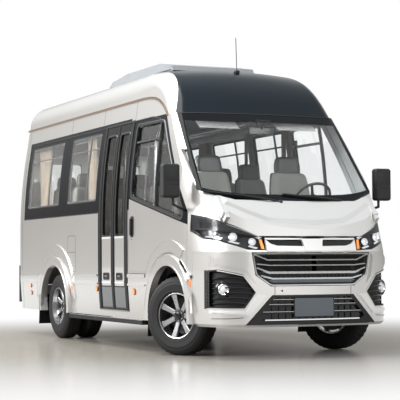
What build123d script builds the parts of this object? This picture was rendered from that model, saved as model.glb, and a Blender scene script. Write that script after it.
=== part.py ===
"""Minibus: body shell, doors, glass, cabin, chassis and running gear.

Frame: +X forward, +Y to the vehicle's left, +Z up; origin on the ground
under the middle of the vehicle.  All sizes are in millimetres.
"""
from build123d import *
from math import cos, degrees, radians, sin, sqrt, tan
import os

os.makedirs("parts", exist_ok=True)

# ---------------------------------------------------------------- body sizes
x_front = 3150                # foremost face of the bumper
x_rear_skin = -3040           # rear skin
x_rear_bumper = -3150
half_width = 1000             # body side at its widest
shell = 40                    # thickness of walls, doors and roof
sill_z = 320                  # lower edge of the body sides
tuck = 26                     # how far the sill is drawn in under the side
tuck_z = 700                  # height where the drawn-in part ends
belt_z = 1300                 # height where the side starts to lean in
lean = 9.0                    # degrees, lean of the side below the roof
rail_z = 2610                 # seam between side and roof
roof_z = 2950                 # top of the roof on the centre line
shoulder_r = 280              # roof shoulder radius
crown = 4.5                   # degrees, slope of the roof beside the shoulder
gap = 6                       # shut line around doors
fan_x = 800                   # rear edge of the front roof cap
fan_z = 2250                  # height of the axis the cap's sections turn about
seam_z = 2390                 # seam between windscreen and cap

# nose and windscreen, seen from above
flank_r, flank_turn = 1500, 20.0     # gentle arc from side to corner
corner_r, front_half_turn = 350, 9.25
ws_rake = 0.813               # windscreen: mm back for each mm up
ws_seam_x = 2057              # windscreen on the centre line at the seam
ws_half_turn = 12.0           # degrees, half the bow of the glass
ws_corner_low, ws_corner_high = 135, 115
nose_rake = 0.35              # lean of the nose above the bumper
nose_break_z = 1000

# running gear
axle_front_x, axle_rear_x = 2020, -1520
tyre_r, tyre_w = 383.5, 212
axle_z = tyre_r
arch_r = 490
flare_r = 590
flare_out = 26
wheel_face_y = 993            # outer face of a wheel that points straight ahead
kingpin_y = 793
steer_rest = 28.0             # degrees to the left, as parked
twin_gap = 50

# floors
floor_t = 50
cab_floor_z = 930
step_z = 400


def save(piece, label):
    piece.part.label = label
    export_step(piece.part, f"parts/{label}.step")


# ------------------------------------------------------------- side geometry
side_arc_r = (fan_z - belt_z) / sin(radians(lean))


def side_y(z):
    """Half width of the body's outer side at height z."""
    if z < tuck_z:
        return half_width - tuck * (tuck_z - z) / (tuck_z - sill_z)
    if z <= belt_z:
        return half_width
    if z <= fan_z:
        return half_width - side_arc_r + sqrt(side_arc_r**2 - (z - belt_z) ** 2)
    return side_y(fan_z) - (z - fan_z) * tan(radians(lean))


def side_band(sign, z_low, z_high, outer=0.0, inner=shell):
    """Section of a side between two insets from the skin, on plane YZ."""
    levels = [z for z in (tuck_z, belt_z, fan_z) if z_low < z < z_high]
    levels = [z_low, *levels, z_high]

    def edge(inset):
        pairs = zip(levels[:-1], levels[1:])
        for low, high in pairs:
            start = (sign * (side_y(low) - inset), low)
            end = (sign * (side_y(high) - inset), high)
            if low >= belt_z and high <= fan_z:
                mid = (low + high) / 2
                ThreePointArc(start, (sign * (side_y(mid) - inset), mid), end)
            else:
                Line(start, end)

    with BuildSketch(Plane.YZ, mode=Mode.PRIVATE) as band:
        with BuildLine():
            edge(outer)
            edge(inner)
            for z in (z_low, z_high):
                Line((sign * (side_y(z) - outer), z), (sign * (side_y(z) - inner), z))
        make_face()
    return band.sketch


def side_slab(sign, x_low, x_high, z_low, z_high, outer=0.0, inner=shell):
    """A piece of the body side between two X and two Z limits."""
    band = side_band(sign, z_low, z_high, outer, inner)
    moved = band.moved(Location((x_low, 0, 0)))
    return extrude(moved, amount=x_high - x_low, dir=(1, 0, 0), mode=Mode.PRIVATE)


# ------------------------------------------------------- plan view outlines
def turns(start, width, arcs):
    """Outline of the front half from above: straight side, arcs, straight side."""
    path = [Line((start[0], -width), (start[1], -width))]
    for radius, angle in arcs:
        path.append(JernArc(path[-1] @ 1, path[-1] % 1, radius, angle))
    path.append(Line(path[-1] @ 1, (start[0], width)))
    Line((start[0], width), (start[0], -width))


def nose_plan(z, inset=0.0, x_back=1500, shift=0.0):
    width = half_width - inset
    corner_turn = 90 - flank_turn - front_half_turn
    end_flank, end_corner = radians(flank_turn), radians(90 - front_half_turn)
    side_part = flank_r * (1 - cos(end_flank)) + corner_r * (cos(end_flank) - cos(end_corner))
    front_r = (half_width - side_part) / cos(end_corner)
    run = flank_r * sin(end_flank) + corner_r * (sin(end_corner) - sin(end_flank))
    run += front_r * (1 - sin(end_corner))
    tangent_x = x_front - run - shift
    arcs = [(flank_r - inset, flank_turn), (corner_r - inset, corner_turn)]
    arcs += [(front_r - inset, 2 * front_half_turn)] + arcs[::-1]
    with BuildSketch(Plane.XY.offset(z), mode=Mode.PRIVATE) as plan:
        with BuildLine():
            turns((x_back, tangent_x), width, arcs)
        make_face()
    return plan.sketch


def windscreen_plan(z, inset=0.0, x_back=1600):
    width = side_y(z) - inset
    share = max(0.0, (z - belt_z) / (seam_z - belt_z))
    radius = ws_corner_low + share * (ws_corner_high - ws_corner_low)
    bow = radians(ws_half_turn)
    bow_r = (side_y(z) - radius * (1 - sin(bow))) / sin(bow)
    tip_x = ws_seam_x + ws_rake * (seam_z - z)
    tangent_x = tip_x - bow_r * (1 - cos(bow)) - radius * cos(bow)
    arcs = [(radius - inset, 90 - ws_half_turn), (bow_r - inset, 2 * ws_half_turn)]
    arcs += [arcs[0]]
    with BuildSketch(Plane.XY.offset(z), mode=Mode.PRIVATE) as plan:
        with BuildLine():
            turns((x_back, tangent_x), width, arcs)
        make_face()
    return plan.sketch


def screen_solid(inset=0.0, z_low=belt_z, count=4):
    """Windscreen and pillars, filled, from a height up to the seam."""
    levels = [z_low + (seam_z - z_low) * i / (count - 1) for i in range(count)]
    return loft([windscreen_plan(z, inset) for z in levels], mode=Mode.PRIVATE)


def nose_low(inset, z_low, z_high=nose_break_z):
    """Upright lower part of the nose, filled."""
    return extrude(nose_plan(z_low, inset), amount=z_high - z_low, dir=(0, 0, 1), mode=Mode.PRIVATE)


def nose_high(inset, z_high=1620):
    """Upper part of the nose, which leans back, filled."""
    lean_back = nose_rake * (z_high - nose_break_z)
    plans = [nose_plan(nose_break_z, inset), nose_plan(z_high, inset, shift=lean_back)]
    return loft(plans, ruled=True, mode=Mode.PRIVATE)


def front_solid(inset, z_low):
    """The whole front up to the seam, filled, as far as the side walls need it."""
    flat = [windscreen_plan(z, inset) for z in (z_low, tuck_z, belt_z)]
    below = loft(flat, ruled=True, mode=Mode.PRIVATE)
    screen, nose = screen_solid(inset), nose_high(inset, seam_z)
    return (screen & nose) + (below & nose) + (below & nose_low(inset, z_low))


# ---------------------------------------------------------- roof cap sections
# centre profile of the cap: straight on from the glass, then two arcs
cap_arc_tip, cap_arc_tip_turn = 755, 41.0
cap_arc_top, cap_arc_top_turn = 3500, 10.0


def cap_profile(angle):
    """Distance from the fan axis to the cap's centre profile at this angle."""
    top_end = radians(cap_arc_top_turn)
    tip_end = top_end + radians(cap_arc_tip_turn)
    top_c = (fan_x, roof_z - cap_arc_top)
    join = (top_c[0] + cap_arc_top * sin(top_end), top_c[1] + cap_arc_top * cos(top_end))
    tip_c = (join[0] - cap_arc_tip * sin(top_end), join[1] - cap_arc_tip * cos(top_end))
    ray = (cos(radians(angle)), sin(radians(angle)))

    def hit(centre, radius):
        dx, dz = fan_x - centre[0], fan_z - centre[1]
        b = ray[0] * dx + ray[1] * dz
        return -b + sqrt(b * b - dx * dx - dz * dz + radius * radius)

    s = hit(top_c, cap_arc_top)
    if fan_x + s * ray[0] <= join[0]:
        return s
    s = hit(tip_c, cap_arc_tip)
    if fan_x + s * ray[0] <= tip_c[0] + cap_arc_tip * sin(tip_end):
        return s
    # straight part: x = seam_x - rake * (z - seam_z)
    return (ws_seam_x - fan_x + ws_rake * (seam_z - fan_z)) / (ray[0] + ws_rake * ray[1])


cap_foot = seam_z - fan_z - 10


def arch(plane, angle, reach, foot, outer=0.0, inner=shell):
    """Band across the vehicle on a plane of the fan: side, shoulder, crown, side."""
    up = sin(radians(angle))
    tilt = radians(lean * up)
    bow = radians(ws_half_turn + (crown - ws_half_turn) * up)
    radius = ws_corner_high + (shoulder_r - ws_corner_high) * up
    foot_w = side_y(fan_z + foot * up)

    def edge(inset):
        r, top, w = radius - inset, reach - inset, foot_w - inset / cos(tilt)
        k = (1 - cos(bow)) / sin(bow)
        start = top - r * (cos(bow) - sin(tilt)) + k * r * (cos(tilt) - sin(bow))
        start = (start - k * (w + foot * tan(tilt))) / (1 - k * tan(tilt))
        wide = w - (start - foot) * tan(tilt)
        flat = wide - r * (cos(tilt) - sin(bow))
        crown_r = flat / sin(bow)
        first = Line((w, foot), (wide, start))
        turn = 90 - degrees(tilt) - degrees(bow)
        one = JernArc(first @ 1, first % 1, r, turn)
        two = JernArc(one @ 1, one % 1, crown_r, 2 * degrees(bow))
        three = JernArc(two @ 1, two % 1, r, turn)
        Line(three @ 1, (-w, foot))
        return w

    with BuildSketch(plane, mode=Mode.PRIVATE) as band:
        with BuildLine():
            wide_out = edge(outer)
            wide_in = edge(inner)
            for sign in (-1, 1):
                Line((sign * wide_out, foot), (sign * wide_in, foot))
        make_face()
    return band.sketch


def fan_plane(angle):
    a = radians(angle)
    normal = (sin(a), 0, -cos(a))
    return Plane(origin=(fan_x, 0, fan_z), x_dir=(0, 1, 0), z_dir=normal)


# ------------------------------------------------------------- door outlines
door_rear_x, door_front_x = 940, 2455
door_low_z, door_top_z, door_knee_z = 790, 2380, 1370
door_top_front_x = 1760
door_arch_r = 615
leaf_rear_x, leaf_front_x = 72, 862
leaf_low_z, leaf_high_z = 408, 2380


def front_door_outline(grow=0.0):
    """Front door seen from the side, on plane XZ."""
    with BuildSketch(Plane.XZ, mode=Mode.PRIVATE) as outline:
        with BuildLine():
            Polyline(
                (door_rear_x - grow, door_low_z - grow),
                (door_front_x + grow, door_low_z - grow),
                (door_front_x + grow, door_knee_z + grow / 2),
                (door_top_front_x + grow, door_top_z + grow),
                (door_rear_x - grow, door_top_z + grow),
                close=True,
            )
        make_face()
        with Locations((axle_front_x, axle_z)):
            Circle(door_arch_r - grow, mode=Mode.SUBTRACT)
    return outline.sketch


def across(sketch, sign, depth=half_width + 200):
    """Solid from a side view sketch, from the middle out past one side."""
    return extrude(sketch, amount=depth, dir=(0, sign, 0), mode=Mode.PRIVATE)


def block(x, y, z):
    """Box between pairs of limits."""
    size = [high - low for low, high in (x, y, z)]
    centre = [(high + low) / 2 for low, high in (x, y, z)]
    return Pos(*centre) * Box(*size, mode=Mode.PRIVATE)


def rod(start, end, radius):
    """Cylinder from one point to another."""
    along = Vector(*end) - Vector(*start)
    place = Plane(origin=start, z_dir=along)
    return place.location * Cylinder(radius, along.length, align=(Align.CENTER, Align.CENTER, Align.MIN),
                                     mode=Mode.PRIVATE)


def disc(x, z, radius, y_low, y_high):
    """Cylinder across the vehicle between two Y limits."""
    return rod((x, y_low, z), (x, y_high, z), radius)


def front_view(points, x_low=0, x_high=x_front + 200, inset=0.0):
    """Prism along X from a (y, z) outline, its edge drawn in by an inset."""
    with BuildSketch(Plane.YZ.offset(x_low), mode=Mode.PRIVATE) as outline:
        with BuildLine():
            Polyline(*points, close=True)
        make_face()
        if inset:
            offset(amount=-inset, kind=Kind.INTERSECTION, mode=Mode.REPLACE)
    return extrude(outline.sketch, amount=x_high - x_low, dir=(1, 0, 0), mode=Mode.PRIVATE)


# ------------------------------------------------------ construction solids
rear_frame_x = x_rear_skin + 130       # front face of the rear frame
front_join_x = 1650                    # the flat side ends here
front_out, front_in = front_solid(0, sill_z - 20), front_solid(shell, sill_z - 20)
front_shell = front_out - front_in
signs = {"right": -1, "left": 1}


def half(sign, x, z, y_low=0):
    """Box on one side of the vehicle."""
    y = (y_low, half_width + 200) if sign > 0 else (-half_width - 200, -y_low)
    return block(x, y, z)


# bonnet: arc in side view from its front edge to the foot of the windscreen
bonnet_front, bonnet_mid, bonnet_rear = (3128, 1143), (2900, 1395), (2560, 1640)


def above_bonnet(drop=0.0):
    """Everything over the bonnet's surface, lowered by drop."""
    front, mid, rear = [(x, z - drop) for x, z in (bonnet_front, bonnet_mid, bonnet_rear)]
    with BuildSketch(Plane.XZ.offset(-half_width - 100), mode=Mode.PRIVATE) as area:
        with BuildLine():
            ThreePointArc(front, mid, rear)
            Polyline(rear, (rear[0] - 350, 2000), (3400, 2000), (3400, front[1]), front)
        make_face()
    return extrude(area.sketch, amount=2 * half_width + 200, dir=(0, -1, 0), mode=Mode.PRIVATE)


# windscreen edge, seen from the front
screen_low_z, screen_corner_z = 1468, 1590
screen_half_low, screen_half_high = 938, 868


def screen_edge(grow=0.0):
    low, high = screen_half_low + grow, screen_half_high + grow
    base, corner = screen_low_z - grow, screen_corner_z - grow
    half_edge = [(640, base + 12), (low, corner), (high, seam_z)]
    return [(0, base), *half_edge, *[(-y, z) for y, z in half_edge[::-1]]]


# right headlight, seen from the front (y, z)
lamp_edge = [(478, 1008), (680, 1022), (945, 1120), (1010, 1250), (1010, 1375), (800, 1268), (520, 1132)]
lamp_rear_x = 2510
lamp_prisms = {side: front_view([(sign * y, z) for y, z in lamp_edge], lamp_rear_x)
               for side, sign in signs.items()}
bumper_rear_x = 2565
mirror_root = {side: front_shell & half(sign, (2300, 2700), (1300, 1700)) for side, sign in signs.items()}

# windows of each side (x from, x to), behind one flush band of glass
windows = {"right": [(-2640, -1400), (-1085, -90)], "left": [(-2640, -1400), (-1085, -90), (60, 870)]}
window_low_z, window_high_z = 1585, 2350
band_low_z, band_high_z = 1455, 2384
band_rear_x, band_front_x = -2790, {"right": 62, "left": 930}
band_split_x = -1245
pane_t = 7

# ---------------------------------------------------------------- body sides
inner_reach_y = 700                    # cuts through a side start here
wing_x, wing_y, wing_z, wing_t = (2563.5, 3000), 793, (1250, 1700), 30
# room behind the flare for the front door's lower corner as the door swings
pocket_x, pocket_y, pocket_z = (2285, door_front_x + gap), (925, 1006), (803, 940)
pocket_r = (555, door_arch_r)
arches = [(axle_front_x, "front"), (axle_rear_x, "rear")]
for side, sign in signs.items():
    y_in, y_out = sorted((sign * 500, sign * (half_width + 100)))
    flare_y = sorted((sign * (half_width - shell), sign * (half_width + flare_out)))
    flares = [disc(x, axle_z, flare_r, *flare_y) & block((x - 700, x + 543), (-1100, 1100), (sill_z, 1200))
              for x, place in arches]
    holes = [disc(x, axle_z, arch_r, y_in, y_out) for x, place in arches]
    rebate = side_slab(sign, band_rear_x, band_front_x[side], band_low_z, band_high_z, -1, pane_t)
    openings = [half(sign, xs, (window_low_z, window_high_z), inner_reach_y) for xs in windows[side]]
    if side == "right":
        doorway_x, doorway_z = (leaf_rear_x - gap, leaf_front_x + gap), (leaf_low_z - gap, leaf_high_z + gap)
        openings.append(half(sign, doorway_x, doorway_z, inner_reach_y))
    slab_low = side_slab(sign, rear_frame_x, front_join_x, sill_z, seam_z)
    slab_high = side_slab(sign, rear_frame_x, fan_x, seam_z, rail_z)
    nose_zone = half(sign, (front_join_x, bumper_rear_x - 1.5), (sill_z, seam_z))
    corner_zone = half(sign, wing_x, (nose_break_z + 2, seam_z), wing_y)
    door_hole = across(front_door_outline(gap), sign)
    wing_top = (front_out & half(sign, wing_x, wing_z, wing_y)) & above_bonnet(2 + wing_t)
    pocket_sides = sorted(sign * y for y in pocket_y)
    small, large = [disc(axle_front_x, axle_z, radius, *pocket_sides) for radius in pocket_r]
    pocket = (large - small) & block(pocket_x, pocket_sides, pocket_z)
    with BuildPart() as side_wall:
        add(slab_low)
        add(slab_high)
        add(front_shell & nose_zone)
        add(front_shell & corner_zone)
        add(wing_top)
        add(flares)
        add(front_view(screen_edge(3), 1500), mode=Mode.SUBTRACT)
        add(above_bonnet(2), mode=Mode.SUBTRACT)
        add(lamp_prisms[side], mode=Mode.SUBTRACT)
        add(door_hole, mode=Mode.SUBTRACT)
        add(rebate, mode=Mode.SUBTRACT)
        add(openings, mode=Mode.SUBTRACT)
        add(holes, mode=Mode.SUBTRACT)
        add(pocket, mode=Mode.SUBTRACT)
    save(side_wall, f"side_wall_{side}")

# ------------------------------------------------- glass fixed to the body
with BuildPart() as side_glass:
    for side, sign in signs.items():
        spans = [(band_rear_x, band_split_x), (band_split_x + 4, band_front_x[side])]
        for x_low, x_high in spans:
            add(side_slab(sign, x_low, x_high, band_low_z, band_high_z, 0, pane_t))
save(side_glass, "side_glass")

glass_t = 8
with BuildPart() as windscreen:
    add(screen_solid(0))
    add(screen_solid(glass_t), mode=Mode.SUBTRACT)
    add(front_view(screen_edge(), 1500), mode=Mode.INTERSECT)
save(windscreen, "windscreen")

# -------------------------------------------------------------------- roof
cap_half_low, cap_half_high, cap_low_z, cap_high_z = 872, 690, seam_z - 5, roof_z - 60
cap_angles = (0, 15, 30, 45, 60, 75, 90)
whole_fan = loft([arch(fan_plane(a), a, cap_profile(a), cap_foot) for a in cap_angles])
fan_band = whole_fan & block((fan_x, 2400), (-1100, 1100), (seam_z, roof_z + 50))
roof_foot = rail_z - fan_z
cross_plane = Plane(origin=(0, 0, fan_z), x_dir=(0, 1, 0), z_dir=(1, 0, 0))
rear_band = arch(cross_plane, 90, cap_profile(90), roof_foot).moved(Location((rear_frame_x, 0, 0)))
rear_roof = extrude(rear_band, amount=fan_x - rear_frame_x, dir=(1, 0, 0))


def cap_zone(shrink=0.0):
    low, high = cap_half_low - shrink, cap_half_high - shrink
    points = [(low, cap_low_z), (high, cap_high_z), (high, roof_z + 60)]
    return front_view(points + [(-y, z) for y, z in points[::-1]], fan_x - 10 + shrink)


with BuildPart() as roof_panel:
    add(rear_roof)
    add(fan_band)
    add(cap_zone(), mode=Mode.SUBTRACT)
save(roof_panel, "roof_panel")

with BuildPart() as front_cap:
    add(fan_band)
    add(cap_zone(3), mode=Mode.INTERSECT)
save(front_cap, "front_cap")

# --------------------------------------------------------------- rear frame
rear_round = 95


def body_section(inset=0.0):
    """Whole cross section of the body on plane YZ, from sill to roof."""
    bow = radians(crown)
    with BuildSketch(Plane.YZ, mode=Mode.PRIVATE) as section:
        with BuildLine():
            low, tuck_y, wide = side_y(sill_z) - inset, side_y(tuck_z) - inset, half_width - inset
            mid_z = (belt_z + fan_z) / 2
            Line((low, sill_z), (tuck_y, tuck_z))
            Line((tuck_y, tuck_z), (wide, belt_z))
            tilt = radians(lean)
            fan_y = side_y(fan_z) - inset / cos(tilt)
            ThreePointArc((wide, belt_z), (side_y(mid_z) - inset, mid_z), (fan_y, fan_z))
            r = shoulder_r - inset
            k = (1 - cos(bow)) / sin(bow)
            w = side_y(fan_z) - inset / cos(tilt)
            reach = roof_z - fan_z - inset
            start = reach - r * (cos(bow) - sin(tilt)) + k * r * (cos(tilt) - sin(bow))
            start = (start - k * w) / (1 - k * tan(tilt))
            top_w = w - start * tan(tilt)
            side_top = Line((w, fan_z), (top_w, fan_z + start))
            turn = 90 - lean - crown
            shoulder = JernArc(side_top @ 1, side_top % 1, r, turn)
            crown_r = (top_w - r * (cos(tilt) - sin(bow))) / sin(bow)
            JernArc(shoulder @ 1, shoulder % 1, crown_r, crown)
            mirror(about=Plane.YZ)
            Line((-low, sill_z), (low, sill_z))
        make_face()
    return section.sketch


rear_depth = rear_frame_x - x_rear_skin
rear_outer = extrude(body_section().moved(Location((x_rear_skin, 0, 0))), amount=rear_depth, dir=(1, 0, 0))
rear_inner = extrude(body_section(shell).moved(Location((x_rear_skin + 60, 0, 0))), amount=rear_depth,
                     dir=(1, 0, 0))
rear_door_half, rear_door_low_z, rear_door_high_z = 800, 620, 2330
rear_door_t = 45
rear_hole = block((x_rear_skin - 10, rear_frame_x + 10), (-rear_door_half - gap, rear_door_half + gap),
                  (rear_door_low_z - gap, rear_door_high_z + gap))
with BuildPart() as rear_form:
    add(rear_outer)
    fillet(rear_form.faces().sort_by(Axis.X)[0].edges().filter_by(lambda e: e.center().Z > sill_z + 5),
           radius=rear_round)
tail_low_z, tail_high_z, tail_inner_y, tail_depth = 897, 1475, 852, 56
tail_zones = [half(sign, (x_rear_skin - 1, x_rear_skin + tail_depth), (tail_low_z, tail_high_z), tail_inner_y)
              for sign in (-1, 1)]
with BuildPart() as rear_frame:
    add(rear_form.part)
    add(rear_inner, mode=Mode.SUBTRACT)
    add(rear_hole, mode=Mode.SUBTRACT)
    add(tail_zones, mode=Mode.SUBTRACT)
save(rear_frame, "rear_frame")
with BuildPart() as tail_lamps:
    for zone in tail_zones:
        add(rear_form.part & zone)
save(tail_lamps, "tail_lamps")

# rear doors: two leaves that meet on the centre line
rear_window = {"y": (130, 690), "z": (1560, 2200)}
for side, sign in signs.items():
    near, far = sign * 3, sign * rear_door_half
    leaf_y = sorted((near, far))
    window_y = sorted(sign * y for y in rear_window["y"])
    with BuildPart() as rear_door:
        add(block((x_rear_skin, x_rear_skin + rear_door_t), leaf_y, (rear_door_low_z, rear_door_high_z)))
        add(block((x_rear_skin - 10, x_rear_skin + 100), window_y, rear_window["z"]), mode=Mode.SUBTRACT)
        add(block((x_rear_skin - 10, x_rear_skin + 12), (window_y[0] - 20, window_y[1] + 20),
                  (rear_window["z"][0] - 20, rear_window["z"][1] + 20)), mode=Mode.SUBTRACT)
    save(rear_door, f"rear_door_{side}")
    with BuildPart() as rear_glass:
        add(block((x_rear_skin + 4, x_rear_skin + 12), (window_y[0] - 20, window_y[1] + 20),
                  (rear_window["z"][0] - 20, rear_window["z"][1] + 20)))
    save(rear_glass, f"rear_glass_{side}")

# --------------------------------------------------------- nose and bumper
bumper_low_z, bumper_t = 300, 50
mouth = [(625, 992), (590, 780), (440, 676), (-440, 676), (-590, 780), (-625, 992)]
lower_mouth = [(430, 596), (690, 318), (-690, 318), (-430, 596)]
fog_edge = [(938, 827), (890, 835), (700, 787), (580, 628), (690, 477), (938, 477)]
fog_depth = 38
tow_y, tow_z, tow_r = -330, 634, 10    # towing eye socket in the bumper


nose_x = 2680                          # front view cuts start here
fog_cuts = [front_view([(sign * y, z) for y, z in fog_edge], nose_x) for sign in (-1, 1)]
lamp_seam = 4
tuck_prism = front_view([(sign * (side_y(z) + 1), z) for sign, z in (
    (1, sill_z - 30), (1, tuck_z), (1, 1300), (-1, 1300), (-1, tuck_z), (-1, sill_z - 30))], 2300)
with BuildPart() as front_bumper:
    add(nose_low(0, bumper_low_z))
    add(tuck_prism, mode=Mode.INTERSECT)
    chamfer(front_bumper.faces().sort_by(Axis.Z)[0].edges().filter_by(lambda e: e.center().X > 2400), 28)
    add(nose_low(bumper_t, bumper_low_z - 10, nose_break_z + 10), mode=Mode.SUBTRACT)
    add(block((bumper_rear_x + 1.5, 3300), (-1100, 1100), (0, nose_break_z - 1)), mode=Mode.INTERSECT)
    add(front_view(mouth, nose_x), mode=Mode.SUBTRACT)
    add(front_view(lower_mouth, nose_x), mode=Mode.SUBTRACT)
    add(fog_cuts, mode=Mode.SUBTRACT)
    add(rod((x_front - 120, tow_y, tow_z), (x_front + 20, tow_y, tow_z), tow_r), mode=Mode.SUBTRACT)
save(front_bumper, "front_bumper")

# grille: a dark backing with bright bars in front, and the slats of the lower mouth
bar_h = 26
bars = [(712, 470), (796, 576), (880, 592), (964, 606)]          # height, half length
slats = [(365, 620), (430, 555), (495, 495), (560, 430)]
back_in, back_t = 32, 16
panel_edge = [(474, 1003), (474, 1140), (-474, 1140), (-474, 1003)]      # between grille and bonnet
boss_edge = [(36, 1003), (62, 1100), (-62, 1100), (-36, 1003)]           # plain centre piece on it
bonnet_t = 28
plate_face_x, plate_z, plate_half_y, plate_half_z = x_front - 8, 480, 212, 90
with BuildPart() as grille:
    add(nose_low(back_in, 670))
    add(front_view(mouth, nose_x, inset=2), mode=Mode.INTERSECT)
    for z, y in bars:
        reach = block((nose_x, 3300), (-y, y), (z - bar_h, z + bar_h))
        add(nose_low(4, z - bar_h / 2, z + bar_h / 2) & reach)
    add(nose_low(back_in + back_t, 600), mode=Mode.SUBTRACT)
    panel = (nose_high(back_in - 8) - nose_high(back_in + back_t)) & front_view(panel_edge, nose_x)
    boss = (nose_high(6) - nose_high(back_in)) & front_view(boss_edge, nose_x)
    add((panel + boss) - above_bonnet(bonnet_t + 4))
save(grille, "grille")
with BuildPart() as lower_grille:
    add(nose_low(back_in, 310, 620))
    add(front_view(lower_mouth, nose_x, inset=2), mode=Mode.INTERSECT)
    for z, y in slats:
        add(nose_low(8, z - 8, z + 8) & block((nose_x, 3300), (-y, y), (z - 9, z + 9)))
    add(nose_low(back_in + back_t, 300, 640), mode=Mode.SUBTRACT)
    plate_low_z, plate_high_z = plate_z - plate_half_z, plate_z + plate_half_z
    add(block((x_front - 40, plate_face_x), (-plate_half_y, plate_half_y), (plate_low_z, plate_high_z)))
save(lower_grille, "lower_grille")
fog_y, fog_z, fog_r = 824, 647, 62
with BuildPart() as fog_lamps:
    for sign in (-1, 1):
        cut = front_view([(sign * y, z) for y, z in fog_edge], nose_x, inset=2)
        tray = (nose_low(fog_depth, 470, 850) & cut) - nose_low(fog_depth + 10, 460, 860)
        socket = nose_low(12, 500, 800) - nose_low(fog_depth + 5, 490, 810)
        add(tray)
        add(rod((2700, sign * fog_y, fog_z), (3100, sign * fog_y, fog_z), fog_r) & socket)
save(fog_lamps, "fog_lamps")

# headlights fill the openings between bumper, bonnet and wing
lamp_depth = 60
with BuildPart() as headlights:
    for side, sign in signs.items():
        edge = front_view([(sign * y, z) for y, z in lamp_edge], lamp_rear_x + 3, inset=lamp_seam)
        add((nose_high(0) - nose_high(lamp_depth)) & edge)
    add(above_bonnet(3), mode=Mode.SUBTRACT)
    add(block((0, 4000), (-1100, 1100), (900, nose_break_z + lamp_seam)), mode=Mode.SUBTRACT)
save(headlights, "headlights")

# bonnet: a shell with a top and a skirt that runs down to the lamps and the panel
bonnet_half_y, bonnet_rear_x, bonnet_low_z = 790, 2600, 1143
bonnet_void = nose_high(bonnet_t, 1650) - above_bonnet(bonnet_t)
with BuildPart() as bonnet:
    add(nose_high(0, 1660))
    add(above_bonnet(0), mode=Mode.SUBTRACT)
    add(bonnet_void, mode=Mode.SUBTRACT)
    bonnet_box = block((bonnet_rear_x, 3300), (-bonnet_half_y, bonnet_half_y), (bonnet_low_z, 1700))
    add(bonnet_box, mode=Mode.INTERSECT)
    add(list(lamp_prisms.values()), mode=Mode.SUBTRACT)
    add(front_view(screen_edge(3), 1500), mode=Mode.SUBTRACT)
save(bonnet, "bonnet")

# -------------------------------------------------------------- front doors
hinge_gap = 5
door_join_x = 1600                     # the door's flat part ends here
nose_fill = [nose_high(inset, seam_z) + nose_low(inset, tuck_z) for inset in (0, shell)]
window_front = [(995, 1598), (2335, 1330), (2345, 1400), (1712, 2320), (1010, 2330)]
divider_x, crossbar_z, bar_w = 1640, 2155, 24
glass_in, door_glass_t = 24, 6
mirror_x, mirror_y, mirror_z = 2447, 1163, 1676
mirror_size = (105, 180, 325)
arm_r = 13
for side, sign in signs.items():
    with BuildSketch(Plane.XZ) as window_shape:
        with BuildLine():
            Polyline(*window_front, close=True)
        make_face()
        fillet(window_shape.vertices(), 45)
    window = across(window_shape.sketch, sign)
    low_bar_z, high_bar_z = crossbar_z - bar_w / 2, crossbar_z + bar_w / 2
    divider = side_slab(sign, divider_x - bar_w / 2, divider_x + bar_w / 2, door_low_z, door_top_z, 12, 38)
    crossbar = side_slab(sign, door_rear_x, divider_x, low_bar_z, high_bar_z, 12, 38)
    bars = divider + crossbar
    with BuildPart() as front_door:
        add(side_slab(sign, door_rear_x, door_join_x, door_low_z, door_top_z))
        outside = side_slab(sign, door_join_x, door_front_x + 1, door_low_z, door_top_z, 0, 400)
        hollow_x, hollow_z = (door_join_x - 1, door_front_x + 2), (door_low_z - 1, door_top_z + 1)
        inside = side_slab(sign, *hollow_x, *hollow_z, shell, 460)
        add((outside & nose_fill[0]) - (inside & nose_fill[1]))
        add(across(front_door_outline(), sign), mode=Mode.INTERSECT)
        add(window, mode=Mode.SUBTRACT)
        add(bars & window)
    save(front_door, f"front_door_{side}")
    with BuildPart() as door_glass:
        glass_out = glass_in + door_glass_t
        add(side_slab(sign, door_rear_x, door_front_x, door_low_z, door_top_z, glass_in, glass_out))
        add(window, mode=Mode.INTERSECT)
        add(bars, mode=Mode.SUBTRACT)
    save(door_glass, f"front_door_glass_{side}")
    with BuildPart() as mirror_piece:
        add(Pos(mirror_x, sign * mirror_y, mirror_z) * Box(*mirror_size, mode=Mode.PRIVATE))
        fillet(mirror_piece.edges(), 28)
        elbow = (mirror_x - 4, sign * (mirror_y - 35), 1452)
        add(rod((mirror_x - 4, sign * (mirror_y - 35), 1560), elbow, arm_r))
        add(Pos(*elbow) * Sphere(arm_r, mode=Mode.PRIVATE))
        add(rod(elbow, (2396, sign * 985, 1400), arm_r))
        add(mirror_root[side], mode=Mode.SUBTRACT)
    save(mirror_piece, f"mirror_{side}")

# ---------------------------------------------------------- entrance leaves
leaf_mid_x = (leaf_rear_x + leaf_front_x) / 2
leaf_window_low_z, leaf_window_high_z, leaf_border = 1190, 2285, 62
for place, x_low, x_high in (("rear", leaf_rear_x, leaf_mid_x - 3), ("front", leaf_mid_x + 3, leaf_front_x)):
    hole = half(-1, (x_low + leaf_border, x_high - leaf_border), (leaf_window_low_z, leaf_window_high_z), 700)
    with BuildPart() as leaf:
        add(side_slab(-1, x_low, x_high, leaf_low_z, leaf_high_z))
        add(hole, mode=Mode.SUBTRACT)
    save(leaf, f"entrance_leaf_{place}")
    with BuildPart() as leaf_glass:
        add(side_slab(-1, x_low, x_high, leaf_window_low_z, leaf_window_high_z, 12, 18))
        add(hole, mode=Mode.INTERSECT)
    save(leaf_glass, f"entrance_glass_{place}")

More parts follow.
